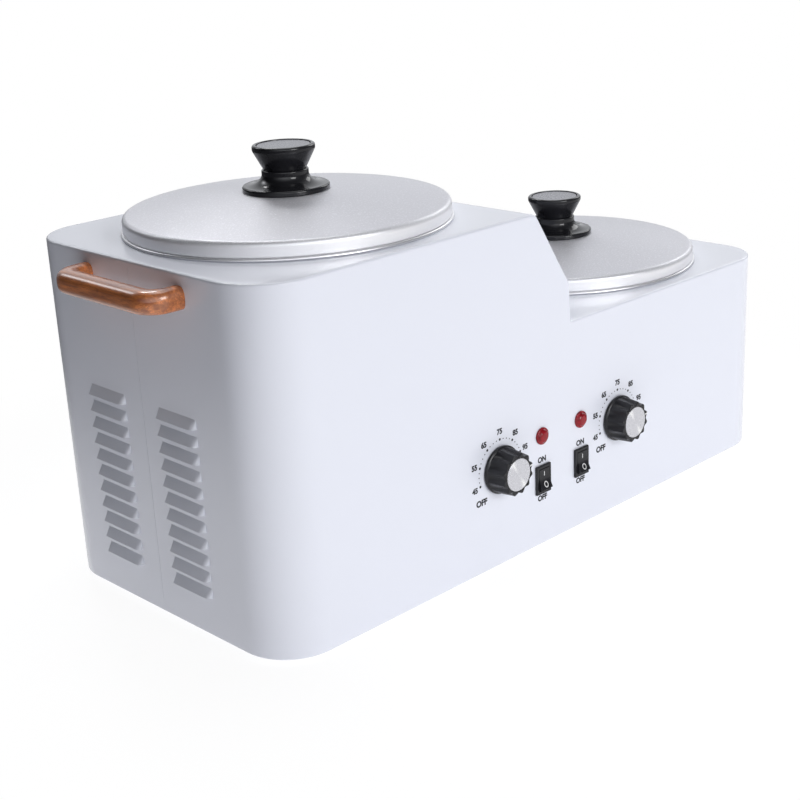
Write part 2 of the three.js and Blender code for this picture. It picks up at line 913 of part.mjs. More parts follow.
function heaterBand(place) {
  const outer = bandInner + bandThickness;
  const ring = solidOf(splitRing(bandInner, outer, bandHeight, bandGapHalfAngle));
  const ears = [-1, 1].map((side) => {
    const ear = new THREE.BoxGeometry(earLength + bandThickness, earThickness, earHeight);
    const x = outer - bandThickness / 2 + earLength / 2;
    return solidOf(ear.translate(x, side * (earFaceY() + earThickness / 2), bandHeight / 2));
  });
  const screwHole = rod(clampScrewRadius + runningGap, -earLength * 2, earLength * 2, screwSides)
    .rotateX(quarterTurn).translate(outer + earLength / 2, 0, bandHeight / 2);
  const band = join([ring, ...ears]).subtract(solidOf(screwHole));
  return solidOf(towardsMiddle(geometryOf(band), place).translate(place.x, 0, bandBottom(place)));
}

function clampScrew(place) {
  const outer = bandInner + bandThickness;
  const outside = earFaceY() + earThickness + seatGap;
  const geometry = screw({
    radius: clampScrewRadius,
    head: clampScrewHead,
    headThickness: clampScrewHeadThickness,
    length: 2 * outside + screwTail,
  }).rotateX(-quarterTurn).translate(outer + earLength / 2, -outside, bandHeight / 2);
  return solidOf(towardsMiddle(geometry, place).translate(place.x, 0, bandBottom(place)));
}

function insulation(place) {
  const inner = snug(bandInner + bandThickness + seatGap, knobSides);
  const bottom = bandBottom(place) + bandHeight / 2;
  const top = place.z - insulationBelowDeck;
  const ring = splitRing(inner, inner + insulationThickness, top - bottom, insulationGapHalfAngle);
  return solidOf(towardsMiddle(ring, place).translate(place.x, 0, bottom));
}

// A spun lid: rolled shoulder, shallow cone, flat seat for the knob and a collar that centres it.
function lid({ x, z }) {
  const seatTop = lidSkirt + lidRise;
  const shoulderR = lidRadius - lidShoulder;
  const shoulderZ = lidSkirt - lidShoulder;
  const hole = lidScrewRadius + runningGap;
  const inside = lidShoulder - lidSheet;
  const shell = closedProfile([
    [hole, seatTop],
    [lidSeatRadius, seatTop],
    ...arc(shoulderR, shoulderZ, lidShoulder, quarterTurn, 0, arcSteps / 2),
    [lidRadius, 0],
    [lidRadius - lidSheet, 0],
    ...arc(shoulderR, shoulderZ, inside, 0, quarterTurn, arcSteps / 2),
    [lidSeatRadius, seatTop - lidSheet],
    [hole, seatTop - lidSheet],
  ]);
  const collarOuter = potRadius - potWall - collarClearance;
  const collar = closedProfile([
    [collarOuter, -collarDepth],
    [collarOuter, lidSkirt - lidSheet / 2],
    [collarOuter - lidSheet, lidSkirt - lidSheet / 2],
    [collarOuter - lidSheet, -collarDepth],
  ]);
  const solid = solidOf(turned(shell, roundSides)).add(solidOf(turned(collar, roundSides)));
  return solidOf(geometryOf(solid).translate(x, 0, z + lidBottom));
}

function knobSeat({ z }) {
  return z + lidBottom + lidSkirt + lidRise;
}

// The flared foot of a lid knob: a thick round flange that sweeps up to a straight neck.
function lidKnobBase(place) {
  const sweepRadius = knobFlangeRadius - knobFlangeRound - knobNeckRadius;
  const sweepHeight = knobNeckHeight - knobNeckStraight - knobFlangeThickness;
  const sweep = Array.from({ length: arcSteps + 1 }, (_, step) => {
    const angle = (quarterTurn * step) / arcSteps;
    return [
      knobNeckRadius + sweepRadius * (1 - Math.sin(angle)),
      knobFlangeThickness + sweepHeight * (1 - Math.cos(angle)),
    ];
  });
  const bore = lidScrewRadius + runningGap;
  const profile = closedProfile([
    [bore, 0],
    [knobFlangeRadius - knobFlangeRound / 2, 0],
    [knobFlangeRadius, knobFlangeRound / 2],
    [knobFlangeRadius, knobFlangeThickness - knobFlangeRound],
    ...sweep,
    [knobNeckRadius, knobNeckHeight],
    [bore, knobNeckHeight],
  ]);
  return solidOf(turned(profile, knobSides).translate(place.x, 0, knobSeat(place)));
}

// The inverted cone that the fingers hold, with a raised rim round a dished top.
function lidKnobGrip(place) {
  const bore = lidScrewRadius + runningGap;
  const dish = gripTopRadius - gripRim;
  const profile = [
    [bore, 0],
    [gripFootRadius, 0],
    [gripTopRadius - gripRound / 2, gripHeight - gripRound * 2],
    [gripTopRadius, gripHeight - gripRound],
    ...arc(gripTopRadius - gripRound / 2, gripHeight - gripRound / 2, gripRound / 2, 0, quarterTurn, 2),
    [dish, gripHeight],
    [dish, gripHeight - gripDish],
    [0, gripHeight - gripDish],
    [0, lidScrewLength - knobNeckHeight],
    [bore, lidScrewLength - knobNeckHeight],
    [bore, 0],
  ];
  const z = knobSeat(place) + knobNeckHeight;
  return solidOf(turned(profile, knobSides).translate(place.x, 0, z));
}

function lidKnobDisc(place) {
  const radius = gripTopRadius - gripRim - runningGap;
  const z = knobSeat(place) + knobNeckHeight + gripHeight - gripDish;
  return solidOf(rod(radius, 0, discThickness, knobSides).translate(place.x, 0, z));
}

function lidKnobScrew(place) {
  const geometry = screw({
    radius: lidScrewRadius,
    head: lidScrewHead,
    headThickness: lidScrewHeadThickness,
    length: lidScrewLength + lidSheet - seatGap,
  });
  return solidOf(geometry.translate(place.x, 0, knobSeat(place) - lidSheet - seatGap));
}

// Front controls, built along +Z out of the front wall

function thermostatBody(x) {
  const back = -sheet - thermostatDepth;
  const block = prism(rectangle(thermostatWidth, thermostatHeight, thermostatCorner), thermostatDepth)
    .translate(0, 0, back);
  const bush = rod(bushRadius, -sheet - overrun, bushReach);
  const bore = rod(shaftRadius + runningGap, -sheet - shaftBackReach - seatGap, bushReach + overrun);
  const body = solidOf(block).add(solidOf(bush)).subtract(solidOf(bore));
  return solidOf(facingFront(geometryOf(body), x, dialHeight));
}

function thermostatNut(x) {
  const hexagonSides = 6;
  const nut = solidOf(rod(nutRadius, 0, nutThickness, hexagonSides));
  const bore = solidOf(rod(bushRadius + runningGap, -overrun, nutThickness + overrun));
  return solidOf(facingFront(geometryOf(nut.subtract(bore)), x, dialHeight));
}

function thermostatShaft(x) {
  const round = rod(shaftRadius, -sheet - shaftBackReach, shaftFrontReach, smallSides);
  const flat = new THREE.BoxGeometry(2 * shaftRadius, 2 * shaftRadius, shaftFrontReach)
    .translate(2 * shaftRadius - shaftFlatDepth, 0, shaftFrontReach / 2 + bushReach);
  return solidOf(facingFront(geometryOf(solidOf(round).subtract(solidOf(flat))), x, dialHeight));
}

// The sensing bulb under a well, with its capillary straight back from the thermostat.
function sensorBulb(x, place) {
  const start = frontY - sheet - thermostatDepth - seatGap;
  const profile = [
    [0, 0],
    [capillaryRadius, 0],
    [capillaryRadius, capillaryLength],
    [bulbRadius, capillaryLength + bulbNose],
    [bulbRadius, capillaryLength + bulbLength - bulbNose],
    [capillaryRadius, capillaryLength + bulbLength],
    [0, capillaryLength + bulbLength],
  ];
  const z = wellBottom(place) - seatGap - bulbRadius;
  return solidOf(turned(profile, screwSides).rotateX(-quarterTurn).translate(x, -start, z));
}

// A ring of a fluted outline: shallow scallops between blunt ribs.
function flutedRing(radius, height, depth) {
  const count = dialFlutes * dialStepsPerFlute;
  return Array.from({ length: count }, (_, i) => {
    const angle = (fullTurn * i) / count;
    const scallop = Math.abs(Math.cos((dialFlutes * angle) / 2));
    const r = radius - depth * scallop * scallop;
    return new THREE.Vector3(r * Math.cos(angle), r * Math.sin(angle), height);
  });
}

// The dial knob: a thin round skirt and a fluted body that narrows to the front.
function dialKnob(x) {
  const front = dialReach;
  const rings = [
    flutedRing(dialFlangeRadius, dialStandOff, 0),
    flutedRing(dialFlangeRadius, dialStandOff + dialFlangeThickness, 0),
    flutedRing(dialBodyRadius, dialStandOff + dialFlangeThickness + dialFrontChamfer, dialFluteDepth / 2),
    flutedRing(dialFrontRadius, front - dialFrontChamfer, dialFluteDepth),
    flutedRing(dialFrontRadius - dialFrontChamfer, front, dialFluteDepth / 2),
  ];
  const back = rod(dialBackRadius, -overrun, dialStandOff + dialBackDepth);
  const bore = rod(shaftRadius + runningGap, 0, shaftFrontReach + seatGap);
  const recess = rod(dialCapRadius, front - dialCapRecess, front + overrun, knobSides);
  const body = solidOf(loft(rings)).subtract(join([solidOf(back), solidOf(bore), solidOf(recess)]));
  return solidOf(facingFront(geometryOf(body), x, dialHeight));
}

function dialCap(x) {
  const from = dialReach - dialCapRecess;
  const disc = rod(dialCapRadius - runningGap, from, from + dialCapThickness, knobSides);
  return solidOf(facingFront(disc, x, dialHeight));
}

function switchFrame(x) {
  const bezel = softPrism(rectangle(bezelWidth, bezelHeight, bezelCorner), bezelThickness, bezelEdge, 1);
  const block = prism(rectangle(switchBodyWidth, switchBodyHeight), switchBodyDepth)
    .translate(0, 0, -switchBodyDepth);
  const pocket = new THREE.BoxGeometry(
    rockerWidth + 2 * runningGap,
    2 * (rockerRadius + runningGap),
    rockerPocketDepth + bezelThickness + overrun,
  ).translate(0, 0, (bezelThickness + overrun - rockerPocketDepth) / 2);
  const tabs = [-1, 1].map((side) => {
    const tab = new THREE.BoxGeometry(tabWidth, tabThickness, tabLength + overrun);
    const z = -switchBodyDepth - tabLength / 2 + overrun / 2;
    return solidOf(tab.translate(0, (side * tabSpacing) / 2, z));
  });
  const body = join([solidOf(bezel), solidOf(block), ...tabs]).subtract(solidOf(pocket));
  return solidOf(facingFront(geometryOf(body), x, switchHeight));
}

// A rocker about its pivot: round ends that sweep the frame, and a face hollowed to a shallow V.
function switchRocker() {
  const corner = [rockerCornerAngle, Math.PI - rockerCornerAngle];
  const back = rockerBackAngle;
  const outline = [
    ...arc(0, 0, rockerRadius, -back, corner[0], arcSteps / 2),
    [0, rockerMiddleReach],
    ...arc(0, 0, rockerRadius, corner[1], Math.PI + back, arcSteps / 2),
  ].map(([along, out]) => new THREE.Vector2(along, out));
  return solidOf(prism(outline, rockerWidth)
    .translate(0, 0, -rockerWidth / 2)
    .rotateY(quarterTurn)
    .rotateX(Math.PI));
}

function lampLens(x) {
  const dome = Array.from({ length: arcSteps / 2 + 1 }, (_, step) => {
    const angle = (quarterTurn * step) / (arcSteps / 2);
    return [lensDomeRadius * Math.cos(angle), lensRim + lensDome * Math.sin(angle)];
  });
  const lens = turned([[0, 0], [lensRadius, 0], [lensRadius, lensRim], ...dome.slice(0, -1),
    [0, lensRim + lensDome]], smallSides);
  return solidOf(facingFront(lens, x, lampHeight));
}

function lampBody(x) {
  const nutBack = -sheet - lampNutThickness;
  const profile = [
    [0, -lampBodyLength],
    [lampBodyRadius, -lampBodyLength],
    [lampBodyRadius, nutBack],
    [lampNutRadius, nutBack],
    [lampNutRadius, -sheet],
    [lampBodyRadius, -sheet],
    [lampBodyRadius, 0],
    [0, 0],
  ];
  return solidOf(facingFront(turned(profile, smallSides), x, lampHeight));
}

// Power inlet, built along +Z out of the rear wall

function socketOutline() {
  const [x, y] = [socketWidth / 2, socketHeight / 2];
  return roundedPath([
    [-x, -y], [x, -y], [x, y - socketBevel], [x - socketBevel, y], [socketBevel - x, y],
    [-x, y - socketBevel],
  ], true);
}

function inletHousing() {
  const flange = softPrism(
    rectangle(inletFlangeWidth, inletFlangeHeight, inletCorner),
    inletFlangeThickness,
    bezelEdge,
    1,
  );
  const block = prism(rectangle(inletBodyWidth, inletBodyHeight, inletCorner), inletDepth)
    .translate(0, 0, -inletDepth);
  const socket = prism(socketOutline(), socketDepth + overrun)
    .translate(0, 0, inletFlangeThickness - socketDepth);
  const slots = pinPlaces().map(({ along, up }) => {
    const slot = new THREE.BoxGeometry(pinWidth + 2 * runningGap, pinHeight + 2 * runningGap, inletDepth);
    return solidOf(slot.translate(along, up, -inletDepth));
  });
  const body = join([solidOf(flange), solidOf(block)]).subtract(join([solidOf(socket), ...slots]));
  return solidOf(facingRear(geometryOf(body), inletX, inletHeight));
}

function pinPlaces() {
  return [
    { name: 'live', along: -pinSpacing, up: -pinDrop },
    { name: 'neutral', along: pinSpacing, up: -pinDrop },
    { name: 'earth', along: 0, up: earthRise },
  ];
}

function inletPin({ along, up }) {
  const floor = inletFlangeThickness - socketDepth;
  const length = pinReach + (inletDepth + floor) + pinTail;
  const pin = new THREE.BoxGeometry(pinWidth, pinHeight, length);
  return solidOf(facingRear(pin.translate(along, up, floor + pinReach - length / 2), inletX, inletHeight));
}

// A terminal block on the base, with a screw well over each way.
function terminalBlock() {
  const block = prism(rectangle(terminalLength, terminalWidth), terminalHeight);
  const pitch = terminalLength / terminalWays;
  const wells = Array.from({ length: terminalWays }, (_, i) => {
    const from = terminalHeight - terminalWellDepth;
    const hole = rod(terminalWellRadius, from, terminalHeight + overrun, screwSides);
    return solidOf(hole.translate((i - (terminalWays - 1) / 2) * pitch, 0, 0));
  });
  const body = solidOf(block).subtract(join(wells));
  return solidOf(geometryOf(body).translate(inletX, terminalY, baseBottom + sheet));
}

// The whole

const wholeCase = new THREE.Group();
wholeCase.position.y = middleY;

function add(name, solid, finish) {
  const mesh = new THREE.Mesh(geometryOf(solid), new THREE.MeshStandardMaterial(finish));
  mesh.name = name;
  wholeCase.add(mesh);
  return mesh;
}

const walls = caseWalls();
add('front_shell', frontShell(walls), casePaint);
add('rear_shell', rearShell(walls), casePaint);
add('top_deck', topDeck(), casePaint);
add('base_plate', basePlate(), steel);
Object.entries(footPlaces()).forEach(([name, place]) => add(`foot_${name}`, foot(place), rubber));
Object.entries(handlePlaces()).forEach(([name, place]) => {
  add(`handle_${name}`, handle(place), lacqueredWood);
  handleScrewPlaces(place).forEach((screwPlace) => {
    add(`handle_screw_${screwPlace.end}_${name}`, handleScrew(screwPlace), steel);
  });
});
Object.entries(pots).forEach(([name, place]) => {
  add(`well_${name}`, well(place), potAluminium);
  add(`heater_band_${name}`, heaterBand(place), micaBand);
  add(`heater_clamp_screw_${name}`, clampScrew(place), steel);
  add(`insulation_${name}`, insulation(place), glassWool);
  add(`pot_${name}`, pot(place), potAluminium);
  add(`lid_${name}`, lid(place), spunAluminium);
  add(`lid_knob_base_${name}`, lidKnobBase(place), blackGloss);
  add(`lid_knob_grip_${name}`, lidKnobGrip(place), blackGloss);
  add(`lid_knob_disc_${name}`, lidKnobDisc(place), greyDisc);
  add(`lid_knob_screw_${name}`, lidKnobScrew(place), steel);
  add(`thermostat_body_${name}`, thermostatBody(dialXs[name]), paleNylon);
  add(`thermostat_nut_${name}`, thermostatNut(dialXs[name]), steel);
  add(`thermostat_shaft_${name}`, thermostatShaft(dialXs[name]), steel);
  add(`sensor_bulb_${name}`, sensorBulb(dialXs[name], place), brass);
  add(`dial_knob_${name}`, dialKnob(dialXs[name]), blackSatin);
  add(`dial_cap_${name}`, dialCap(dialXs[name]), silverDisc);
  add(`switch_frame_${name}`, switchFrame(switchXs[name]), blackSatin);
  const rocker = add(`switch_rocker_${name}`, switchRocker(), blackSatin);
  rocker.position.set(switchXs[name], -frontY, caseBottom + switchHeight);
  rocker.rotation.x = -THREE.MathUtils.degToRad(rockerTilt);
  add(`lamp_lens_${name}`, lampLens(switchXs[name]), redLens);
  add(`lamp_body_${name}`, lampBody(switchXs[name]), blackSatin);
});
add('inlet_housing', inletHousing(), blackSatin);
pinPlaces().forEach((place) => add(`inlet_pin_${place.name}`, inletPin(place), brass));
add('terminal_block', terminalBlock(), paleNylon);

const waxWarmer = new THREE.Group();
waxWarmer.add(wholeCase);

export default waxWarmer;
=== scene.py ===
import json
import math

import bmesh
import bpy
import numpy as np
from mathutils import Matrix, Vector


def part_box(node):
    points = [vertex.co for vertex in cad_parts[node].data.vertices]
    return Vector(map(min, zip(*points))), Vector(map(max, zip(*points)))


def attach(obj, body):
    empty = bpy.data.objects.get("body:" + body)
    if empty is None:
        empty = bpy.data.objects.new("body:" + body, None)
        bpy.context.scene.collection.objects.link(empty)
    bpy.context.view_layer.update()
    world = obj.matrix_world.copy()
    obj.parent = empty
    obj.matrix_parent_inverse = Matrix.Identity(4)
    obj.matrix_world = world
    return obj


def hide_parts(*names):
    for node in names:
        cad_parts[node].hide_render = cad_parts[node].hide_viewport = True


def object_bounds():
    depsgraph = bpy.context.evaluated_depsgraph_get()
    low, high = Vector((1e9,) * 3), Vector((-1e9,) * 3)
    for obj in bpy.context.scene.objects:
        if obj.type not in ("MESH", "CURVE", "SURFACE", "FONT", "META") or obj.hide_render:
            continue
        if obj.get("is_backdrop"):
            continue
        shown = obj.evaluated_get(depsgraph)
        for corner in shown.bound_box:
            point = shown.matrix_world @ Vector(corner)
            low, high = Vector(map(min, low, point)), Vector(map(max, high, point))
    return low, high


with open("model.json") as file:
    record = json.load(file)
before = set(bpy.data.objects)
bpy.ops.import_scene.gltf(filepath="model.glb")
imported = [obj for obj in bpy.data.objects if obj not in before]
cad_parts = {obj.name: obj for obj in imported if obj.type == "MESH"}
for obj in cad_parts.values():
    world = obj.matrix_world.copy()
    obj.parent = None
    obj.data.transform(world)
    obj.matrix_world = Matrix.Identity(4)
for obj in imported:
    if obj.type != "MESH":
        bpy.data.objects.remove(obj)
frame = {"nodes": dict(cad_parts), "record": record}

bl_info = {
    "name": "Wax warmer",
    "version": (1, 0, 0),
    "blender": (4, 5, 0),
    "location": "View3D > Sidebar > Wax warmer",
    "description": "Finishes a twin-pot wax warmer round its packed frame",
    "category": "Object",
}

MM = 0.001
MERGE = 0.01 * MM  # points closer than this are one
PREFIX = "finish_"
SIDES = ("left", "right")
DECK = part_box("top_deck")
HALF_LENGTH = (DECK[1][0] - DECK[0][0]) / 2
MIDDLE_Y = (DECK[0][1] + DECK[1][1]) / 2
HALF_DEPTH = (DECK[1][1] - DECK[0][1]) / 2
CASE_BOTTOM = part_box("front_shell")[0][2]
HIGH_DECK = DECK[1][2]


def middle(node):
    """The middle of a node's box."""
    low, high = (np.array(corner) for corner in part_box(node))
    return (low + high) / 2


POT_X = {side: float(middle("pot_" + side)[0]) for side in SIDES}
POT_TOP = {side: float(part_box("pot_" + side)[1][2]) for side in SIDES}
POT_BOTTOM = {side: float(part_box("pot_" + side)[0][2]) for side in SIDES}
DIAL = {side: middle("dial_knob_" + side) for side in SIDES}
SWITCH = {side: middle("switch_frame_" + side) for side in SIDES}
LAMP = {side: middle("lamp_lens_" + side) for side in SIDES}
FRONT_Y = MIDDLE_Y - HALF_DEPTH
PRINT_Y = FRONT_Y - 0.01 * MM
SEAM_Y, HALF_SEAM = 3 * MM, 0.12 * MM  # the seam in both end walls, from the case's middle
DISC_SINK = {"lid": 1.2 * MM, "dial": 0.8 * MM}  # how deep a knob's disc lies in it
SCALE_START, SCALE_TURN = 198, 180  # a dial's scale, in degrees, clockwise as it is read
PHOTO_SIZE, PHOTO_FOCAL, PHOTO_CENTRE = 800, 1463.16, (402.98, 401.98)  # in pixels
SENSOR = 36  # width of the camera's sensor, in mm


def on_wall(centre):
    """The place on the front wall before a centre."""
    return np.array((centre[0], FRONT_Y, centre[2]))


def hole(place, half_width, half_height):
    """An opening in a long wall as its low and high corners, (x, z)."""
    x, z = float(place[0]), float(place[2])
    return (x - half_width, z - half_height), (x + half_width, z + half_height)


# The walls' openings; the half widths and heights of those in front are in mm.
HOLES = {
    "front": [
        hole(place, width * MM, height * MM)
        for places, width, height in ((DIAL, 5.1, 5.1), (SWITCH, 6.9, 9.9), (LAMP, 4.2, 4.2))
        for place in places.values()
    ],
    "rear": [hole(middle("inlet_housing"), 13.7 * MM, 10.0 * MM)],
}


def length(name, words, default):
    """A size in metres that a user may change."""
    return bpy.props.FloatProperty(
        name=name, description=words, default=default, min=0, unit="LENGTH", precision=5
    )


def position(name, words, default):
    """A coordinate in metres that a user may change; it may be below zero."""
    return bpy.props.FloatProperty(name=name, description=words, default=default, unit="LENGTH")


def count_of(name, words, default, least=1):
    """A number of equal features that a user may change."""
    return bpy.props.IntProperty(name=name, description=words, default=default, min=least)


def colour(name, words, default):
    """A surface colour that a user may change."""
    return bpy.props.FloatVectorProperty(
        name=name, description=words, default=default, size=3, min=0, max=1, subtype="COLOR"
    )


class WarmerCaseSizes(bpy.types.PropertyGroup):
    plan_radius: length("Corner radius", "Radius of the case's upright corners", 36 * MM)
    edge_radius: length("Edge radius", "Rounding between the deck and the walls", 1.6 * MM)
    sheet: length("Sheet", "Thickness of the case's sheet", 1.2 * MM)
    lip: length("Lip", "Depth of the deck's folded lip", 4 * MM)
    flange: length("Bottom flange", "Width of the inward flange that carries the base", 14 * MM)
    low_deck: length("Low deck", "Height of the low deck above the table", 157.8 * MM)
    slope_top: position("Slope top", "X of the slope's top", -21.5 * MM)
    slope_foot: length("Slope foot", "X of the slope's foot", 12.2 * MM)
    slope_foot_height: length("Slope foot height", "Height of the slope's foot", 185 * MM)
    riser_foot: length("Riser foot", "X where the riser meets the low deck", 13.6 * MM)
    top_bend: length("Top bend", "Radius of the bend above the slope", 8 * MM)
    foot_bend: length("Foot bend", "Radius of the bend below the slope", 9 * MM)
    deck_hole: length("Deck hole", "Radius of the opening round each pot", 99 * MM)
    louvre_pitch: length("Louvre pitch", "Distance from one louvre to the next", 11.1 * MM)
    louvre_height: length("Louvre height", "Height of one louvre", 6.2 * MM)
    louvre_reach: length("Louvre reach", "How far a louvre is pressed out", 3.6 * MM)
    louvre_taper: length("Louvre taper", "Length of a louvre's sloping end", 4.2 * MM)
    louvre_square: length("Louvre's square end", "Length of a louvre's steep end", 0.7 * MM)
    louvre_length: length("Louvre length", "Length of one louvre", 37 * MM)
    louvre_lowest: length("Lowest louvre", "Height of the lowest louvre's top", 38 * MM)
    louvre_front: position("Front column", "Y of the front louvres", -33 * MM)
    louvre_rear: length("Rear column", "Y of the rear louvres", 40 * MM)
    louvres_left: count_of("Louvres left", "Louvres in each column on the left", 11)
    louvres_right: count_of("Louvres right", "Louvres in each column on the right", 7)


class WarmerPotSizes(bpy.types.PropertyGroup):
    pot_radius: length("Pot radius", "Outer radius of a pot", 98 * MM)
    pot_wall: length("Pot wall", "Thickness of a pot's wall", 1.5 * MM)
    pot_corner: length("Pot corner", "Radius between a pot's wall and floor", 10 * MM)
    rim_radius: length("Rim radius", "Outer radius of a pot's rolled rim", 107.6 * MM)
    rim_thickness: length("Rim thickness", "Thickness of a pot's rolled rim", 2 * MM)
    well_wall: length("Well wall", "Thickness of a well's wall", 1.2 * MM)
    lid_radius: length("Lid radius", "Outer radius of a lid's skirt", 106.4 * MM)
    lid_skirt: length("Lid skirt", "Height of a lid's skirt", 9.8 * MM)
    lid_shoulder: length("Lid shoulder", "Rounding above a lid's skirt", 3.4 * MM)
    lid_rise: length("Lid rise", "Rise of a lid's shallow cone", 9.9 * MM)
    lid_seat: length("Knob seat", "Radius of the flat seat of a lid's knob", 29 * MM)
    lid_sheet: length("Lid sheet", "Thickness of a lid's sheet", 1.5 * MM)


class WarmerKnobSizes(bpy.types.PropertyGroup):
    flange_radius: length("Flange radius", "Radius of a lid knob's foot", 28.3 * MM)
    flange_thickness: length("Flange thickness", "Thickness of a lid knob's foot", 3.6 * MM)
    neck_radius: length("Neck radius", "Radius of a lid knob's neck", 15.2 * MM)
    neck_height: length("Neck height", "Height of the seam in a lid knob's neck", 13.5 * MM)
    grip_foot: length("Grip foot", "Radius of a lid knob's grip at its foot", 13.8 * MM)
    grip_top: length("Grip top", "Radius of a lid knob's grip at its top", 20.3 * MM)
    grip_height: length("Grip height", "Height of a lid knob's grip", 15.9 * MM)
    grip_rim: length("Grip rim", "Width of the rim round the grip's disc", 2.6 * MM)
    dial_flange: length("Dial skirt", "Radius of a dial knob's skirt", 16.6 * MM)
    dial_body: length("Dial body", "Radius of a dial knob's body at its back", 15.6 * MM)
    dial_front: length("Dial front", "Radius of a dial knob's body at its front", 14.7 * MM)
    dial_reach: length("Dial reach", "How far a dial knob stands out", 16.2 * MM)
    dial_flute: length("Flute depth", "Depth of a dial knob's flutes", 1.9 * MM)
    dial_flutes: count_of("Flutes", "Flutes round a dial knob", 12, least=3)
    dial_cap: length("Dial disc", "Radius of a dial knob's bright disc", 11.2 * MM)
    lens_radius: length("Lens radius", "Radius of an indicator lens", 6.1 * MM)
    lens_reach: length("Lens reach", "How far an indicator lens stands out", 3.4 * MM)


class WarmerHandleSizes(bpy.types.PropertyGroup):
    span: length("Handle span", "Distance across a handle's legs", 106 * MM)
    reach: length("Handle reach", "How far a handle stands out", 26.5 * MM)
    height: length("Handle height", "Height of a handle's section", 14.5 * MM)
    bar: length("Handle bar", "Thickness of a handle's bar", 15.5 * MM)
    leg: length("Handle leg", "Thickness of a handle's leg", 12 * MM)
    splay: length("Handle splay", "How much narrower the bow is at its bar", 0.5 * MM)
    outer_radius: length("Outer bend", "Outer radius of the handle's bends", 17 * MM)
    inner_radius: length("Inner bend", "Inner radius of the handle's bends", 7 * MM)


class WarmerColours(bpy.types.PropertyGroup):
    paint: colour("Paint", "The case's paint", (0.80, 0.82, 0.90))
    lid: colour("Lid metal", "Blasted aluminium of the lids", (0.64, 0.64, 0.68))
    pot: colour("Pot metal", "Spun aluminium of the pots", (0.80, 0.80, 0.82))
    wood: colour("Wood", "Light part of the handles' wood", (0.65, 0.205, 0.056))
    dark_wood: colour("Dark wood", "Dark streaks in the handles' wood", (0.27, 0.070, 0.024))
    black: colour("Black", "The knobs and switches", (0.010, 0.010, 0.012))
    ink: colour("Ink", "The printed marks", (0.006, 0.006, 0.009))
    lens: colour("Lens", "The indicator lenses", (0.36, 0.006, 0.016))
    disc: colour("Disc", "The grey inlay of the lid knobs", (0.22, 0.22, 0.25))
    floor: colour("Floor", "The floor and the backdrop", (0.90, 0.90, 0.91))


# Shader maths

class Value:
    """A socket that joins in arithmetic; each operator adds one Math node."""

    def __init__(self, maker, socket):
        self.maker = maker
        self.socket = socket

    def _math(self, operation, *terms):
        return self.maker.node("ShaderNodeMath", {"operation": operation}, dict(enumerate(terms)))

    def __add__(self, other):
        return self._math("ADD", self, other)

    def __radd__(self, other):
        return self._math("ADD", other, self)

    def __mul__(self, other):
        return self._math("MULTIPLY", self, other)

    def __rmul__(self, other):
        return self._math("MULTIPLY", other, self)

    def __pow__(self, other):
        return self._math("POWER", self, other)


class Finish:
    """A material and the one method that adds its nodes."""

    def __init__(self, name):
        self.material = bpy.data.materials.new(PREFIX + name)
        self.material.use_nodes = True
        self.tree = self.material.node_tree
        self.tree.nodes.clear()

    def node(self, kind, settings=None, inputs=None, output=0):
        """Adds a node of a type, sets its settings, then its sockets' values or links."""
        made = self.tree.nodes.new(kind)
        for key, value in (settings or {}).items():
            setattr(made, key, value)
        for key, value in (inputs or {}).items():
            socket = made.inputs[key]
            if isinstance(value, Value):
                self.tree.links.new(value.socket, socket)
            else:
                socket.default_value = value
        return Value(self, made.outputs[output]) if made.outputs else made

    def ramp(self, share, stops):
        """A colour that follows a share through its stops, (place, shade)."""
        made = self.node("ShaderNodeValToRGB", {}, {"Fac": share})
        elements = made.socket.node.color_ramp.elements
        while len(elements) > 1:
            elements.remove(elements[-1])
        for number, (place, shade) in enumerate(stops):
            stop = elements.new(place) if number else elements[0]
            stop.position = place
            stop.color = (*shade, 1)
        return made

    def attribute(self, name):
        """A number that a mesh carries at each of its points."""
        return self.node("ShaderNodeAttribute", {"attribute_name": name}, output="Fac")

    def place(self, scale=(1, 1, 1)):
        """The object's own coordinates, scaled."""
        here = self.node("ShaderNodeTexCoord", output="Object")
        return self.node(
            "ShaderNodeMapping", {"vector_type": "POINT"}, {"Vector": here, "Scale": scale}
        )

    def noise(self, where, scale, detail=2, roughness=0.5):
        settings = {"Vector": where, "Scale": scale, "Detail": detail, "Roughness": roughness}
        return self.node("ShaderNodeTexNoise", {}, settings)

    def mix(self, share, first, second):
        """A colour between two, by a share."""
        mixed = self.tree.nodes.new("ShaderNodeMix")
        mixed.data_type = "RGBA"
        for key, value in ((0, share), (6, first), (7, second)):
            if isinstance(value, Value):
                self.tree.links.new(value.socket, mixed.inputs[key])
            elif key:
                mixed.inputs[key].default_value = (*value, 1)
            else:
                mixed.inputs[key].default_value = value
        return Value(self, mixed.outputs[2])

    def bump(self, height, strength, distance):
        return self.node(
            "ShaderNodeBump", {}, {"Height": height, "Strength": strength, "Distance": distance}
        )

    def surface(self, **inputs):
        """The Principled shader, with its sockets named in words."""
        named = {
            key.replace("_", " ").title().replace("Ior", "IOR"): value
            for key, value in inputs.items()
        }
        shader = self.node("ShaderNodeBsdfPrincipled", {}, named)
        self.node("ShaderNodeOutputMaterial", {}, {"Surface": shader})
        return self.material


def toned(shade, share):
    """A colour times a number, with no part over 1."""
    return tuple(min(1.0, part * share) for part in shade)


def paint_finish(shade):
    """Glossy powder coat: a faint orange peel and a slow change of gloss."""
    made = Finish("case_paint")
    where = made.place()
    peel = made.noise(where, 900, 2)
    cloud = made.noise(where, 14, 3)
    return made.surface(
        base_color=made.mix(cloud * 0.5, shade, toned(shade, 0.975)),
        roughness=cloud * 0.08 + 0.20,
        normal=made.bump(peel, 0.05, 0.0002),
        coat_weight=0.25,
        coat_roughness=0.08,
    )


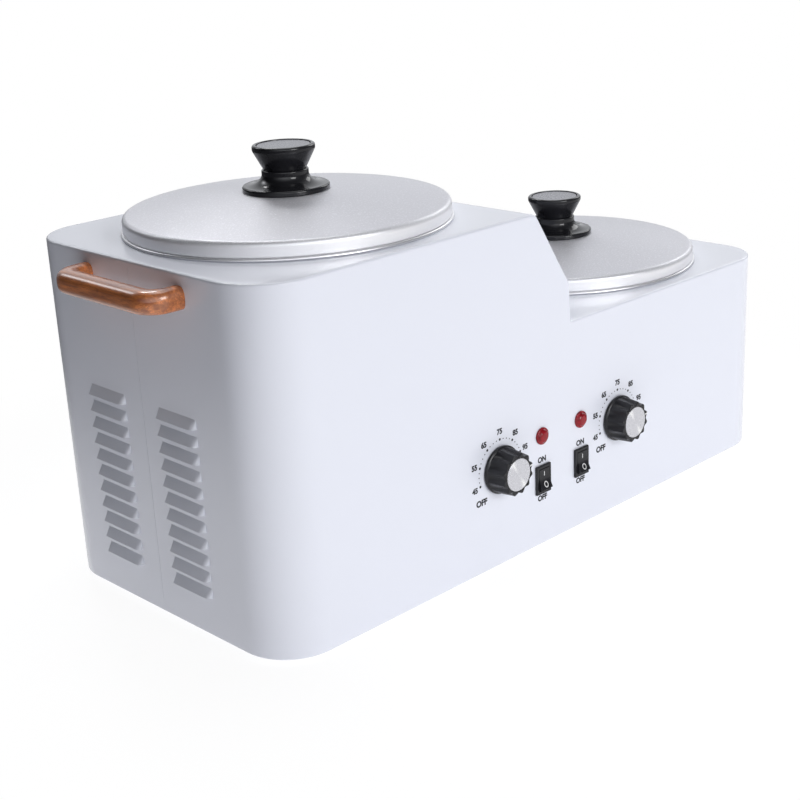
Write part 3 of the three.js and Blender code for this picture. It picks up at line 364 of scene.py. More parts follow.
def lid_finish(shade):
    """Blasted aluminium: fine pits, small bright grains painted in as painted glints, slow clouds
    in the gloss, and a skirt painted near white as a painted reflection.
    """
    made = Finish("lid_aluminium")
    where = made.place()
    grain = made.noise(where, 1500, 2, 0.7)
    # Painted glints: small bright grains painted into the colour, where the blasted metal would
    # catch the light.
    painted_glints = made.ramp(made.noise(where, 900, 1), [(0.56, (0, 0, 0)), (0.72, (1, 1, 1))])
    cloud = made.noise(where, 9, 3)
    blasted = made.mix(painted_glints, made.mix(cloud, toned(shade, 0.90), shade), toned(shade, 1.14))
    return made.surface(
        # Painted reflection: where the attribute skirt is 1 the lid is painted near white, the
        # bright surroundings in front seen in its upright edge.
        base_color=made.mix(made.attribute("skirt"), blasted, (0.97, 0.97, 0.99)),
        metallic=0.5,
        roughness=0.36 + 0.10 * cloud,
        normal=made.bump(grain, 0.35, 0.0003),
    )


def pot_finish(shade):
    """Spun aluminium: turned rings that follow the height."""
    made = Finish("pot_aluminium")
    where = made.place(scale=(6, 6, 900))
    rings = made.noise(where, 3, 2)
    return made.surface(
        base_color=made.mix(rings, toned(shade, 0.86), shade),
        metallic=0.9,
        roughness=0.28 + 0.14 * rings,
        normal=made.bump(rings, 0.12, 0.0002),
    )


def wood_finish(light, dark):
    """Lacquered hardwood: streaks along the bow with small pores under a clear coat."""
    made = Finish("wood")
    where = made.place(scale=(9, 1, 9))
    streaks = made.noise(where, 34, 5, 0.62)
    pores = made.noise(made.place(scale=(1, 0.16, 1)), 1300, 2)
    figure = made.ramp(
        streaks,
        [(0.30, dark), (0.47, toned(light, 0.62)), (0.62, light), (0.80, toned(light, 1.35))],
    )
    pore_mask = made.ramp(pores, [(0.34, (1, 1, 1)), (0.45, (0, 0, 0))])
    return made.surface(
        base_color=made.mix(pore_mask * 0.55, figure, dark),
        roughness=0.34 + 0.10 * streaks,
        normal=made.bump(pores + streaks, 0.14, 0.0004),
        coat_weight=0.9,
        coat_roughness=0.05,
    )


def black_finish(name, shade, roughness, grain):
    """Black moulding: a fine texture and gloss that changes slowly."""
    made = Finish(name)
    where = made.place()
    fine = made.noise(where, 1400, 2)
    cloud = made.noise(where, 40, 2)
    return made.surface(
        base_color=made.mix(cloud, shade, toned(shade, 1.8)),
        roughness=roughness + 0.08 * cloud,
        normal=made.bump(fine, grain, 0.0002),
        specular_ior_level=0.35,
    )


def lens_finish(shade):
    """Red lens: a deep colour, with painted shade that darkens it towards the edge of each raised
    facet.
    """
    made = Finish("red_lens")
    cells = made.node(
        "ShaderNodeTexVoronoi", {"feature": "F1"}, {"Vector": made.place(), "Scale": 420.0}
    )
    return made.surface(
        # Painted shade: the colour darkens away from each facet's middle, as shade between the
        # facets.
        base_color=made.mix(cells, shade, toned(shade, 0.55)),
        roughness=0.12,
        normal=made.bump(cells, 0.35, 0.0006),
        specular_ior_level=0.3,
        coat_weight=0.15,
        coat_roughness=0.04,
    )


def disc_finish(name, shade, metallic, roughness):
    """A knob's disc: fine grain, and a painted highlight: white where the disc's attribute paints
    the gleam of a turned disc.
    """
    made = Finish(name)
    rings = made.noise(made.place(scale=(1, 0.2, 1)), 2600, 2)
    face = made.mix(rings, shade, toned(shade, 0.88))
    return made.surface(
        # Painted highlight: the attribute paints a white streak of light into the colour; a disc
        # without the attribute gets none.
        base_color=made.mix(made.attribute("streak"), face, (1.0, 1.0, 1.0)),
        metallic=metallic,
        roughness=roughness + 0.10 * rings,
        normal=made.bump(rings, 0.10, 0.0001),
    )


def plain_finish(name, shade, metallic, roughness, scale):
    """A part that works out of sight: slightly uneven colour and gloss."""
    made = Finish(name)
    patches = made.noise(made.place(), scale, 3)
    return made.surface(
        base_color=made.mix(patches, toned(shade, 0.82), shade),
        metallic=metallic,
        roughness=roughness + 0.15 * patches,
        normal=made.bump(patches, 0.15, 0.0003),
    )


# Surfaces

def arc_points(centre, radius, first, last, steps):
    """Points of an arc: centre + radius (cos a, sin a), a from first to last."""
    angles = np.linspace(first, last, steps + 1)
    return np.array(centre) + radius * np.column_stack((np.cos(angles), np.sin(angles)))


def rounded_path(corners, steps=8, hold=0.25 * MM):
    """A path through corners (x, y, radius): each corner becomes the arc that touches both its
    sides, with one more point a little before and after it so that shading stays on the bend."""
    corners = [tuple(corner) + (0,) * (3 - len(corner)) for corner in corners]
    parts = []
    for number, (x, y, radius) in enumerate(corners):
        here = np.array((x, y), float)
        if radius == 0 or number in (0, len(corners) - 1):
            parts.append(here[None])
            continue
        before = np.array(corners[number - 1][:2]) - here
        after = np.array(corners[number + 1][:2]) - here
        room = min(np.linalg.norm(before), np.linalg.norm(after))
        before /= np.linalg.norm(before)
        after /= np.linalg.norm(after)
        half = math.acos(np.clip(before @ after, -1, 1)) / 2
        reach = radius / math.tan(half)
        along = before + after
        centre = here + along / np.linalg.norm(along) * radius / math.sin(half)
        start = here + before * reach - centre
        first = math.atan2(start[1], start[0])
        turn = math.copysign(math.pi - 2 * half, before[0] * after[1] - before[1] * after[0])
        bend = arc_points(centre, radius, first, first - turn, steps)
        slack = min(hold, 0.3 * max(room - reach, 0))
        if slack > 0:
            bend = np.vstack((bend[0] + before * slack, bend, bend[-1] + after * slack))
        parts.append(bend)
    return np.vstack(parts)


def grid_faces(rows, columns, closed=False):
    """Quads between neighbours on a grid: (i, j), (i, j+1), (i+1, j+1), (i+1, j). In a closed
    grid the last column is joined to the first."""
    quads_across = columns if closed else columns - 1
    i, j = np.meshgrid(np.arange(rows - 1), np.arange(quads_across), indexing="ij")
    start, after, j_after = i * columns, (i + 1) * columns, (j + 1) % columns
    quads = np.stack((start + j, start + j_after, after + j_after, after + j), axis=-1)
    return quads.reshape(-1, 4)


def patch(points, closed=False):
    """A grid of points as flat arrays of points and faces."""
    return points.reshape(-1, 3), grid_faces(*points.shape[:2], closed)


def flipped(part):
    """The same part with its faces turned the other way."""
    return part[0], part[1][:, ::-1]


def capped(points):
    """A grid of rings closed along its rings, with each end ring drawn in to its middle."""
    ends = []
    for ring, last in ((points[0], False), (points[-1], True)):
        centre = ring.mean(axis=0)
        rows = np.stack((ring, centre + 0.5 * (ring - centre), centre + 0 * ring))
        end = patch(rows, closed=True)
        ends.append(end if last else flipped(end))
    return [patch(points, closed=True), *ends]


def turned(profile, segments=128):
    """A profile of (radius, height) carried round the Z axis: (r cos a, r sin a, h)."""
    angles = np.arange(segments) * 2 * math.pi / segments
    radius, height = profile[:, :1], profile[:, 1:2]
    rings = (radius * np.cos(angles), radius * np.sin(angles), height + 0 * angles)
    return patch(np.stack(rings, axis=-1), closed=True)


def moved(part, offset):
    """The same part, moved."""
    return part[0] + np.array(offset), part[1]


def on_front(part, place=(0, 0, 0)):
    """Turns a part made along +Z to stand out of the front, and moves it to its place."""
    x, y, z = part[0].T
    return moved((np.column_stack((x, -z, y)), part[1]), place)


def mesh_of(name, points, faces):
    """A mesh from arrays of points and faces."""
    mesh = bpy.data.meshes.new(name)
    mesh.from_pydata(points.tolist(), [], faces.tolist())
    return mesh


def added(name, data):
    """A new object in the scene, from its data."""
    thing = bpy.data.objects.new(name, data)
    bpy.context.scene.collection.objects.link(thing)
    return thing


def build(name, parts, finish, node=None, body="root", sharp=35, merge=MERGE):
    """One object from several parts: their points and faces joined, and doubles merged."""
    points = np.vstack([part[0] for part in parts])
    counts = np.cumsum([0] + [len(part[0]) for part in parts])
    faces = np.vstack([part[1] + start for part, start in zip(parts, counts)])
    mesh = mesh_of(name, points, faces)
    work = bmesh.new()
    work.from_mesh(mesh)
    bmesh.ops.remove_doubles(work, verts=work.verts, dist=merge)
    bmesh.ops.dissolve_degenerate(work, edges=work.edges, dist=merge / 10)
    work.to_mesh(mesh)
    work.free()
    return finished(name, mesh, finish, node, body, sharp)


def finished(name, mesh, finish, node, body, sharp):
    """Shades a mesh smooth up to an angle, gives it its finish and slot, lets it ride on its body
    and, where a node is named, puts it in that node's place."""
    mesh.shade_smooth()
    mesh.set_sharp_from_angle(angle=math.radians(sharp))
    mesh.materials.append(material(finish))
    piece = added(name, mesh)
    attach(piece, body)
    if node:
        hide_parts(node)
    return piece


def points_of(piece):
    """The points of a piece's mesh."""
    points = np.empty((len(piece.data.vertices), 3), np.float32)
    piece.data.vertices.foreach_get("co", points.ravel())
    return points


def carry(piece, name, values):
    """Gives a piece's mesh a number at each of its points."""
    piece.data.attributes.new(name, "FLOAT", "POINT").data.foreach_set("value", values)


def thicken(piece, thickness):
    """Gives a sheet its thickness, inwards from its outer face. Its free edges are made sharp, so
    that the cut faces there don't bend the shading."""
    mesh = piece.data
    edges = np.empty(len(mesh.loops), int)
    mesh.loops.foreach_get("edge_index", edges)
    sharp = np.empty(len(mesh.edges), bool)
    mesh.edges.foreach_get("use_edge_sharp", sharp)
    free = np.bincount(edges, minlength=len(sharp)) == 1
    mesh.edges.foreach_set("use_edge_sharp", sharp | free)
    wall = piece.modifiers.new("sheet", "SOLIDIFY")
    wall.thickness = thickness
    wall.offset = -1


def sizes(group):
    """The settings of a group, which a user may change."""
    return getattr(bpy.context.scene, "warmer_" + group)


def material(name):
    """The finish of that name, made once by the materials operator."""
    return bpy.data.materials[PREFIX + name]


# Case

def profile_path(case):
    """The deck along its length, (x, z): high flat, bend, slope, bend, riser, low flat."""
    return rounded_path(
        [
            (-HALF_LENGTH, HIGH_DECK),
            (case.slope_top, HIGH_DECK, case.top_bend),
            (case.slope_foot, case.slope_foot_height, case.foot_bend),
            (case.riser_foot, case.low_deck, 0.8 * MM),
            (HALF_LENGTH, case.low_deck),
        ],
        steps=10,
        hold=1 * MM,
    )


def end_lines(case):
    """Distances from the case's middle at which the end walls' grid has its lines: both edges
    and the sloping ends of every louvre, and even lines between."""
    half = HALF_DEPTH - case.plan_radius
    lines = [np.linspace(-half, half, 23)]
    for column in (case.louvre_front, case.louvre_rear):
        low, high = column - case.louvre_length / 2, column + case.louvre_length / 2
        taper = case.louvre_taper * (1 - np.cos(np.linspace(0, math.pi / 2, 9)))
        square = high - case.louvre_square
        lines += [low + taper, np.linspace(low + taper[-1], square, 8), np.array([high])]
    every = np.unique(np.round(np.concatenate(lines), 6))
    return every[np.concatenate(([True], np.diff(every) > 0.05 * MM))]


def outline(case):
    """The case's plan outline from the left end's middle seam clockwise as seen from above, as
    rows of x, y, z and the outward and upward directions at each point of the deck's edge."""
    radius = case.plan_radius - case.edge_radius
    half_x, half_y = HALF_LENGTH - case.plan_radius, HALF_DEPTH - case.plan_radius
    ends = end_lines(case)
    hold = 0.4 * MM
    high, low = HIGH_DECK, case.low_deck
    left, right = (
        np.array([(sign * (HALF_LENGTH - case.edge_radius), y, deck, sign, 0, 0, 1) for y in ends])
        for sign, deck in ((-1, high), (1, low))
    )

    def corner(centre_x, centre_y, height, first):
        """A quarter of a circle about a centre."""
        angles = np.linspace(first, first + math.pi / 2, 17)
        out_x, out_y = np.cos(angles), np.sin(angles)
        ones = np.ones_like(angles)
        return np.column_stack(
            (centre_x + radius * out_x, centre_y + radius * out_y, height * ones,
             out_x, out_y, 0 * ones, ones)
        )

    path = profile_path(case)
    inside = path[np.abs(path[:, 0]) < half_x - hold]
    flats = ((-half_x, high), (-half_x + hold, high), (half_x - hold, low), (half_x, low))
    high_fill = np.linspace(flats[1], inside[0], 14)[1:-1]
    low_fill = np.linspace(inside[-1], flats[2], 14)[1:-1]
    path = np.vstack((flats[:2], high_fill, inside, low_fill, flats[2:]))
    along = np.gradient(path, axis=0)
    along /= np.linalg.norm(along, axis=1)[:, None]
    count = len(path)
    side_y = (HALF_DEPTH - case.edge_radius) * np.ones(count)
    zeros = np.zeros(count)
    front = np.column_stack(
        (path[:, 0], -side_y, path[:, 1], zeros, zeros - 1, -along[:, 1], along[:, 0])
    )
    rear = front[::-1].copy()
    rear[:, 1] *= -1
    rear[:, 4] *= -1
    return {
        "left": left[::-1],
        "front_left": corner(-half_x, -half_y, high, math.pi),
        "front": front,
        "front_right": corner(half_x, -half_y, low, -math.pi / 2),
        "right": right,
        "rear_right": corner(half_x, half_y, low, 0),
        "rear": rear,
        "rear_left": corner(-half_x, half_y, high, math.pi / 2),
    }


def joined(parts):
    """Outline stretches end to end, with the points that they share given once."""
    whole = np.vstack(parts)
    step = np.linalg.norm(np.diff(whole[:, :3], axis=0), axis=1)
    return whole[np.concatenate(([True], step > MERGE))]


def edge_point(rows, case, angle, extra=0.0):
    """Points of the deck's rounded edge: p + e (sin a out + (cos a - 1) up) - extra up."""
    out = np.column_stack((rows[:, 3:5], np.zeros(len(rows))))
    up = np.column_stack((rows[:, 5], np.zeros(len(rows)), rows[:, 6]))
    e = case.edge_radius
    return rows[:, :3] + e * (math.sin(angle) * out + (math.cos(angle) - 1) * up) - extra * up


def plate_patch(border, centre, radius, rows=12):
    """A flat plate between a round hole and its border: every ray from the hole's middle to a
    border point is cut, from the circle c to the border b, at c (1 - s^1.2) + b s^1.2."""
    spoke = border[:, :2] - np.array(centre[:2])
    angle = np.arctan2(spoke[:, 1], spoke[:, 0])
    circle = np.array(centre[:2]) + radius * np.column_stack((np.cos(angle), np.sin(angle)))
    share = np.linspace(0, 1, rows)[:, None, None] ** 1.2
    flat = circle[None] * (1 - share) + border[None, :, :2] * share
    height = np.full(flat.shape[:2] + (1,), centre[2])
    return flipped(patch(np.concatenate((flat, height), axis=2), closed=True))


def deck_parts(case):
    """The deck: two plates with holes, the strip over the slope, and the edge all round."""
    rim = outline(case)
    ring = joined([rim[key] for key in rim])
    if np.linalg.norm(ring[0, :3] - ring[-1, :3]) < MERGE:
        ring = ring[:-1]
    angles = np.linspace(0, math.pi / 2, 7)
    rows = [edge_point(ring, case, angle) for angle in angles]
    lip = (0.4 * MM, case.lip - case.edge_radius)
    rows += [edge_point(ring, case, math.pi / 2, extra) for extra in lip]
    edge = flipped(patch(np.stack(rows), closed=True))
    front, rear = rim["front"], rim["rear"]
    level = 0.001 * MM
    first = int(np.argmax(front[:, 2] < HIGH_DECK - level)) - 2
    last = int(np.argmax(front[:, 2] <= case.low_deck + level)) + 1
    y = np.linspace(-1, 1, 25) * (HALF_DEPTH - case.edge_radius)
    strip = np.repeat(front[first:last + 1, None, :3], len(y), axis=1)
    strip[:, :, 1] = y[None]

    def across(index, order):
        """The deck's line at a station of the front, from front to rear or back."""
        line = np.repeat(front[index][None], len(y), axis=0)
        line[:, 1] = y[::order]
        return line

    borders = {
        "left": joined([
            rear[-first - 1:], rim["rear_left"], rim["left"], rim["front_left"],
            front[:first + 1], across(first, 1)[1:-1],
        ]),
        "right": joined([
            front[last:], rim["front_right"], rim["right"], rim["rear_right"],
            rear[:len(front) - last], across(last, -1)[1:-1],
        ]),
    }
    heights = {"left": HIGH_DECK, "right": case.low_deck}
    plates = [
        plate_patch(borders[side], (POT_X[side], 0, heights[side]), case.deck_hole)
        for side in SIDES
    ]
    return [edge, flipped(patch(strip)), *plates]


def louvre_lines(case, top, count):
    """Heights of the end wall's grid lines as shares of the wall, with every louvre's own."""
    tops = case.louvre_lowest + np.arange(count) * case.louvre_pitch
    inside = np.linspace(0, 1, 6) * case.louvre_height
    heights = (tops[:, None] - inside[None]).ravel()
    return (heights - CASE_BOTTOM) / (top - CASE_BOTTOM)


def standing(case, face):
    """X of the bottom ends of a long wall's lines: straight under the flat decks, and spread
    under the slope and the riser by the way walked along the top."""
    order = 1 if face[0, 0] < face[-1, 0] else -1
    face = face[::order]
    walked = np.concatenate(([0], np.cumsum(np.linalg.norm(np.diff(face, axis=0), axis=1))))
    clearance, set_back = 14 * MM, 3 * MM
    bend = int(np.argmax(face[:, 0] > case.slope_top - 1.2 * case.top_bend)) - 1
    foot = int(np.argmax(face[:, 2] < case.low_deck)) - 1
    clear = int(np.argmax(face[:, 0] > case.riser_foot + clearance))
    knots = [0, bend, foot, clear, len(face) - 1]
    places = face[knots, 0]
    places[knots.index(foot)] = case.riser_foot - case.lip - set_back
    return np.interp(walked, walked[knots], places)[::order]


def opening(grid, cells, on_face, low, high):
    """A rectangle cut out of the flat part of a wall's grid. The cells about it are taken out,
    and a ring is laid from their border to the rectangle, along rays from its middle:
    q = m + d min(w / |dx|, h / |dz|). Returns the ring's inner points and its faces."""
    x, z = grid[:, :, 0], grid[:, :, 2]
    margin = 0.6 * MM

    def ends(values):
        """The lowest and the highest value at each cell's corners."""
        four = np.stack((values[:-1, :-1], values[1:, :-1], values[:-1, 1:], values[1:, 1:]))
        return four.min(axis=0), four.max(axis=0)

    (x_low, x_high), (z_low, z_high) = ends(x), ends(z)
    under = (x_low < high[0] + margin) & (x_high > low[0] - margin)
    under &= (z_low < high[1] + margin) & (z_high > low[1] - margin)
    under &= (on_face[:-1] & on_face[1:])[None]
    row, column = np.nonzero(under)
    rows, columns = slice(row.min(), row.max() + 1), slice(column.min(), column.max() + 1)
    if not cells[rows, columns].all():
        raise RuntimeError("two openings in the wall share a cell")
    cells[rows, columns] = False
    number = np.arange(x.size).reshape(x.shape)
    border = round_grid(number[rows.start:rows.stop + 1, columns.start:columns.stop + 1])
    middle_of = (np.array(low) + np.array(high)) / 2
    half_size = (np.array(high) - np.array(low)) / 2
    rim = grid.reshape(-1, 3)[border]
    ray = rim[:, ::2] - middle_of
    inner = rim.copy()
    share = (half_size / np.maximum(np.abs(ray), 1e-9)).min(axis=1)
    inner[:, ::2] = middle_of + ray * share[:, None]
    for corner in ((-1, -1), (-1, 1), (1, -1), (1, 1)):
        point = middle_of + half_size * corner
        inner[np.argmin(np.linalg.norm(inner[:, ::2] - point, axis=1)), ::2] = point
    index = np.arange(len(border))
    faces = np.column_stack((border, np.roll(border, -1), -1 - np.roll(index, -1), -1 - index))
    return inner, faces


def wall_grid(case, half):
    """Half of the case's wall as a grid: its rows climb from the bottom flange over a bend of
    one fold's radius to the deck's lip, its columns are stations round the outline."""
    rim = outline(case)
    toward, order = (-1, 1) if half == "front" else (1, -1)
    cut = SEAM_Y + toward * HALF_SEAM
    left, right = (rim[side][rim[side][:, 1] * toward > cut * toward] for side in SIDES)
    stretches = [left, rim[half + "_left"], rim[half], rim[half + "_right"], right]
    ring = joined(stretches[::order])
    first, last = ring[0].copy(), ring[-1].copy()
    first[1] = last[1] = cut
    ring = np.vstack((first, ring, last))
    top = edge_point(ring, case, math.pi / 2, case.lip - case.edge_radius)
    out = np.column_stack((ring[:, 3:5], np.zeros(len(ring))))
    bottom = top.copy()
    bottom[:, 2] = CASE_BOTTOM
    on_face = np.abs(ring[:, 3]) < 0.001
    bottom[on_face, 0] = standing(case, top[on_face])
    fold, right_top = 1.5 * MM, case.low_deck - case.lip
    shares = np.unique(np.round(np.concatenate((
        np.linspace(0, 1, 12),
        louvre_lines(case, HIGH_DECK - case.lip, case.louvres_left),
        louvre_lines(case, right_top, case.louvres_right),
    )), 5))
    shares = shares[shares > 1.5 * fold / (right_top - CASE_BOTTOM)]
    upright = bottom[None] + shares[:, None, None] * (top - bottom)[None]
    bend = [
        bottom + out * fold * (math.sin(angle) - 1)
        + np.array((0, 0, fold * (1 - math.cos(angle))))
        for angle in np.linspace(0, math.pi / 2, 6)
    ]
    return ring, on_face, np.concatenate((np.stack([bottom - out * case.flange, *bend]), upright))


def hoods(case, half, ring, grid):
    """The wall's grid with its louvres pressed out, and which of its cells lie in a louvre. The
    wall is pressed out by reach * t * r * sqrt(1 - (1 - s)^2), t from the louvre's top down, s
    along its rounded front end and r along its square rear end."""
    pressed = grid.copy()
    hood_cells = np.zeros((grid.shape[0] - 1, grid.shape[1] - 1), bool)
    y, z = grid[:, :, 1], grid[:, :, 2]
    column = case.louvre_front if half == "front" else case.louvre_rear
    low_y, high_y = column - case.louvre_length / 2, column + case.louvre_length / 2
    for sign, count in ((-1, case.louvres_left), (1, case.louvres_right)):
        on_end = ring[:, 3] * sign > 0.999
        for number in range(count):
            upper = case.louvre_lowest + number * case.louvre_pitch
            under = upper - case.louvre_height
            here = (z < upper + MERGE) & (z > under - MERGE) & on_end[None]
            here &= (y > low_y - MERGE) & (y < high_y + MERGE)
            t = np.clip((upper - z) / case.louvre_height, 0, 1)
            s = np.clip((y - low_y) / case.louvre_taper, 0, 1)
            r = np.clip((high_y - y) / case.louvre_square, 0, 1)
            press = case.louvre_reach * t * np.sqrt(1 - (1 - s) ** 2) * r
            pressed[here, 0] += sign * press[here]
            hood_cells |= here[:-1, :-1] & here[1:, :-1] & here[:-1, 1:] & here[1:, 1:]
    return pressed, hood_cells


def wall_shell(case, half):
    """Half of the case's wall. The louvres' cells are taken from a pressed copy of the grid, so
    that each stays cut from the wall along its lower edge; the openings are cut out last."""
    ring, on_face, grid = wall_grid(case, half)
    pressed, hood_cells = hoods(case, half, ring, grid)
    rows, columns = grid.shape[:2]
    faces = grid_faces(rows, columns)
    faces = np.where(hood_cells.reshape(-1, 1), faces + rows * columns, faces)
    points = np.vstack((grid.reshape(-1, 3), pressed.reshape(-1, 3)))
    cells = np.ones((rows - 1, columns - 1), bool)
    rings = []
    for low, high in HOLES[half]:
        inner, ring_faces = opening(grid, cells, on_face, low, high)
        rings.append(np.where(ring_faces < 0, len(points) - 1 - ring_faces, ring_faces))
        points = np.vstack((points, inner))
    faces = np.vstack([faces[cells.ravel()], *rings])
    used = np.unique(faces)
    renumber = np.zeros(len(points), int)
    renumber[used] = np.arange(len(used))
    return points[used], renumber[faces]


def shifted(part):
    """A part made round the case's own middle, moved to the case's place."""
    return moved(part, (0, MIDDLE_Y, 0))


# Pots and lids

def pot_profile(pots, bottom, top):
    """A pot's wall from the middle of its floor, up its outside, round the rim and down inside."""
    outer, wall, corner = pots.pot_radius, pots.pot_wall, pots.pot_corner
    under = top - pots.rim_thickness
    rim, half = pots.rim_radius, pots.rim_thickness / 2
    bead = arc_points((rim - half, top - half), half, -math.pi / 2, math.pi / 2, 10)
    outside = rounded_path(
        [(0, bottom), (outer, bottom, corner), (outer, under), (rim - half, under)], steps=10
    )
    inside = rounded_path(
        [(rim - 2 * half, top), (outer - wall, top, 0.9 * MM),
         (outer - wall, bottom + wall, corner - wall), (0, bottom + wall)],
        steps=10,
    )
    return np.vstack((outside[:-1], bead, inside))


def well_profile(pots, low, high):
    """A well's cup in section: its floor, its outside, the flange under the deck and its inside."""
    clearance, flange_width, flange_thickness = 1 * MM, 5 * MM, 1 * MM
    inner = pots.pot_radius + clearance
    outer, flange = inner + pots.well_wall, inner + flange_width
    floor, under = low + pots.well_wall, high - flange_thickness
    return rounded_path(
        [(0, low), (outer, low, pots.pot_corner), (outer, under), (flange, under), (flange, high),
         (inner, high, 0.5 * MM), (inner, floor, pots.pot_corner - pots.well_wall), (0, floor)],
        steps=10,
    )


def rubber_foot_profile(radius, high):
    """A rubber foot in section: its tapered pad, the stem through the base and the barb."""
    pad, base, barb = 4 * MM, 5.2 * MM, 6.7 * MM
    stem_radius, barb_radius, tip_radius = 3.2 * MM, 4.4 * MM, 2.2 * MM
    return rounded_path(
        [(0, 0), (radius - 1 * MM, 0, 0.8 * MM), (radius, pad, 0.5 * MM), (radius, base, 0.3 * MM),
         (stem_radius, base), (stem_radius, barb), (barb_radius, barb, 0.3 * MM),
         (tip_radius, high, 0.4 * MM), (0, high)],
        steps=5,
    )


def pan_head_profile():
    """A screw's pan head in section, hanging under the base plate."""
    radius, under, face = 3.1 * MM, CASE_BOTTOM - 1.5 * MM, CASE_BOTTOM - 0.02 * MM
    return rounded_path([(0, under), (radius, under, 1 * MM), (radius, face), (0, face)], steps=5)


def lid_profile(pots, bottom):
    """A lid from its skirt's edge up over the shoulder and the cone to the knob's seat, and back
    underneath; the skirt's edge is rolled."""
    skirt = bottom + pots.lid_skirt
    seat = skirt + pots.lid_rise
    radius, sheet = pots.lid_radius, pots.lid_sheet
    roll = 0.6 * MM
    top = rounded_path(
        [(radius - sheet, bottom + roll), (radius - roll, bottom, roll / 2),
         (radius, bottom + roll * 1.5, roll), (radius, skirt, pots.lid_shoulder),
         (pots.lid_seat, seat, 6 * MM), (0.1 * MM, seat)],
        steps=8,
    )
    under = rounded_path(
        [(0.1 * MM, seat - sheet), (pots.lid_seat, seat - sheet, 4 * MM),
         (radius - sheet, skirt - sheet, pots.lid_shoulder - sheet / 2),
         (radius - sheet, bottom + roll)],
        steps=8,
    )
    return np.vstack((top, under))


def grip_profile(knob, seat):
    """A lid knob's grip: from its neck out to the rim, over the rim and down to the disc."""
    base = seat + knob.neck_height
    top = base + knob.grip_height
    rim, recess = knob.grip_top - knob.grip_rim, top - DISC_SINK["lid"]
    return rounded_path(
        [(0, base), (knob.grip_foot, base, 0.3 * MM),
         (knob.grip_top, top - 3.4 * MM, 2.5 * MM), (knob.grip_top, top, 1.5 * MM),
         (rim, top, 0.5 * MM), (rim - 0.3 * MM, recess), (0, recess)],
        steps=8,
    )


def inlay_profile(knob, seat):
    """The grey disc in a lid knob's grip, in section."""
    low = seat + knob.neck_height + knob.grip_height - DISC_SINK["lid"]
    high = low + 0.7 * MM
    radius = knob.grip_top - knob.grip_rim - 0.6 * MM
    return rounded_path(
        [(0, low), (radius, low), (radius, high, 0.25 * MM), (0, high)], steps=3
    )


def screw_profile(pots, seat):
    """The screw that holds a lid's knob in section: its head under the lid, and its shank."""
    under = seat - pots.lid_sheet - 0.1 * MM
    head, head_radius, shank, shank_radius = 2.7 * MM, 5 * MM, 25 * MM, 2 * MM
    return rounded_path(
        [(0, under - head), (head_radius, under - head, 1 * MM), (head_radius, under),
         (shank_radius, under), (shank_radius, under + shank), (0, under + shank)],
        steps=4,
    )


def foot_profile(knob, seat):
    """A lid knob's foot: a round-edged flange, then z = h (1 - cos a), r = n + w (1 - sin a) up
    to the neck."""
    flange, thick = knob.flange_radius, knob.flange_thickness
    edge = 1.3 * MM
    angles = np.linspace(0, math.pi / 2, 20)
    width = flange - edge - knob.neck_radius
    rise = knob.neck_height - thick - 3 * MM
    sweep = np.column_stack((
        knob.neck_radius + width * (1 - np.sin(angles)),
        seat + thick + rise * (1 - np.cos(angles)),
    ))
    rim = rounded_path(
        [(0, seat), (flange, seat, 0.8 * MM), (flange, seat + thick, edge),
         tuple(sweep[1])],
        steps=6,
    )
    neck = rounded_path(
        [tuple(sweep[-1]), (knob.neck_radius, seat + knob.neck_height, 0.8 * MM),
         (0, seat + knob.neck_height)],
        steps=5,
    )
    return np.vstack((rim[:-1], sweep[1:-1], neck))


# Controls

def dial_part(knob):
    """A fluted dial knob along +Z: r(a, z) = R(z) - d(z) (1/2 + cos(n a) / 2)^0.8, closed at
    its back."""
    count = knob.dial_flutes
    angles = np.arange(count * 24) * 2 * math.pi / (count * 24)
    back, skirt, reach = 0.6 * MM, 2.4 * MM, knob.dial_reach
    recess, recess_radius = reach - DISC_SINK["dial"], knob.dial_cap + 0.2 * MM
    section = rounded_path(
        [(0, back), (knob.dial_flange, back, 0.4 * MM), (knob.dial_flange, skirt, 0.5 * MM),
         (knob.dial_body + 0.25 * MM, skirt + 0.5 * MM, 0.4 * MM),
         (knob.dial_front, reach, 1.0 * MM),
         (recess_radius, reach, 0.3 * MM), (recess_radius, recess), (0, recess)],
        steps=6,
    )
    radius, height = section[:, 0], section[:, 1]
    rise = np.clip((height - skirt) / (2.5 * MM), 0, 1)
    body = rise * rise * (3 - 2 * rise) * (radius > knob.dial_cap + 1.2 * MM)
    wave = (0.5 + 0.5 * np.cos(count * angles)) ** 0.8
    r = radius[:, None] - knob.dial_flute * body[:, None] * wave[None]
    rings = (r * np.cos(angles), r * np.sin(angles), height[:, None] + 0 * angles)
    return patch(np.stack(rings, axis=-1), closed=True)


def dial_disc_profile(knob):
    """The bright disc in a dial knob's front, in section."""
    back, front = knob.dial_reach - DISC_SINK["dial"], knob.dial_reach + 0.1 * MM
    return rounded_path(
        [(0, back), (knob.dial_cap, back), (knob.dial_cap, front, 0.2 * MM), (0, front)], steps=3
    )


def lens_profile(knob):
    """A lamp's lens in section: a short collar, and a domed face inside it."""
    radius, reach = knob.lens_radius, knob.lens_reach
    return rounded_path(
        [(0, 0), (radius, 0, 0.2 * MM), (radius, 1.3 * MM, 0.5 * MM),
         (radius - 1 * MM, 1.5 * MM, 0.3 * MM),
         (radius * 0.62, reach - 0.15 * MM, 2.5 * MM), (0, reach)],
        steps=6,
    )


def box_part(low, high):
    """A block between two corners."""
    x, y, z = (np.array((low[axis], high[axis])) for axis in range(3))
    points = np.array([(a, b, c) for a in x for b in y for c in z])
    faces = np.array([
        (0, 1, 3, 2), (4, 6, 7, 5), (0, 4, 5, 1), (2, 3, 7, 6), (0, 2, 6, 4), (1, 5, 7, 3),
    ])
    return points, faces


def bevelled(piece, width):
    """Takes a piece's sharp edges off."""
    edge = piece.modifiers.new("edge", "BEVEL")
    edge.width = width
    edge.segments = 2
    edge.limit_method = "ANGLE"
    edge.angle_limit = math.radians(35)
    edge.harden_normals = False


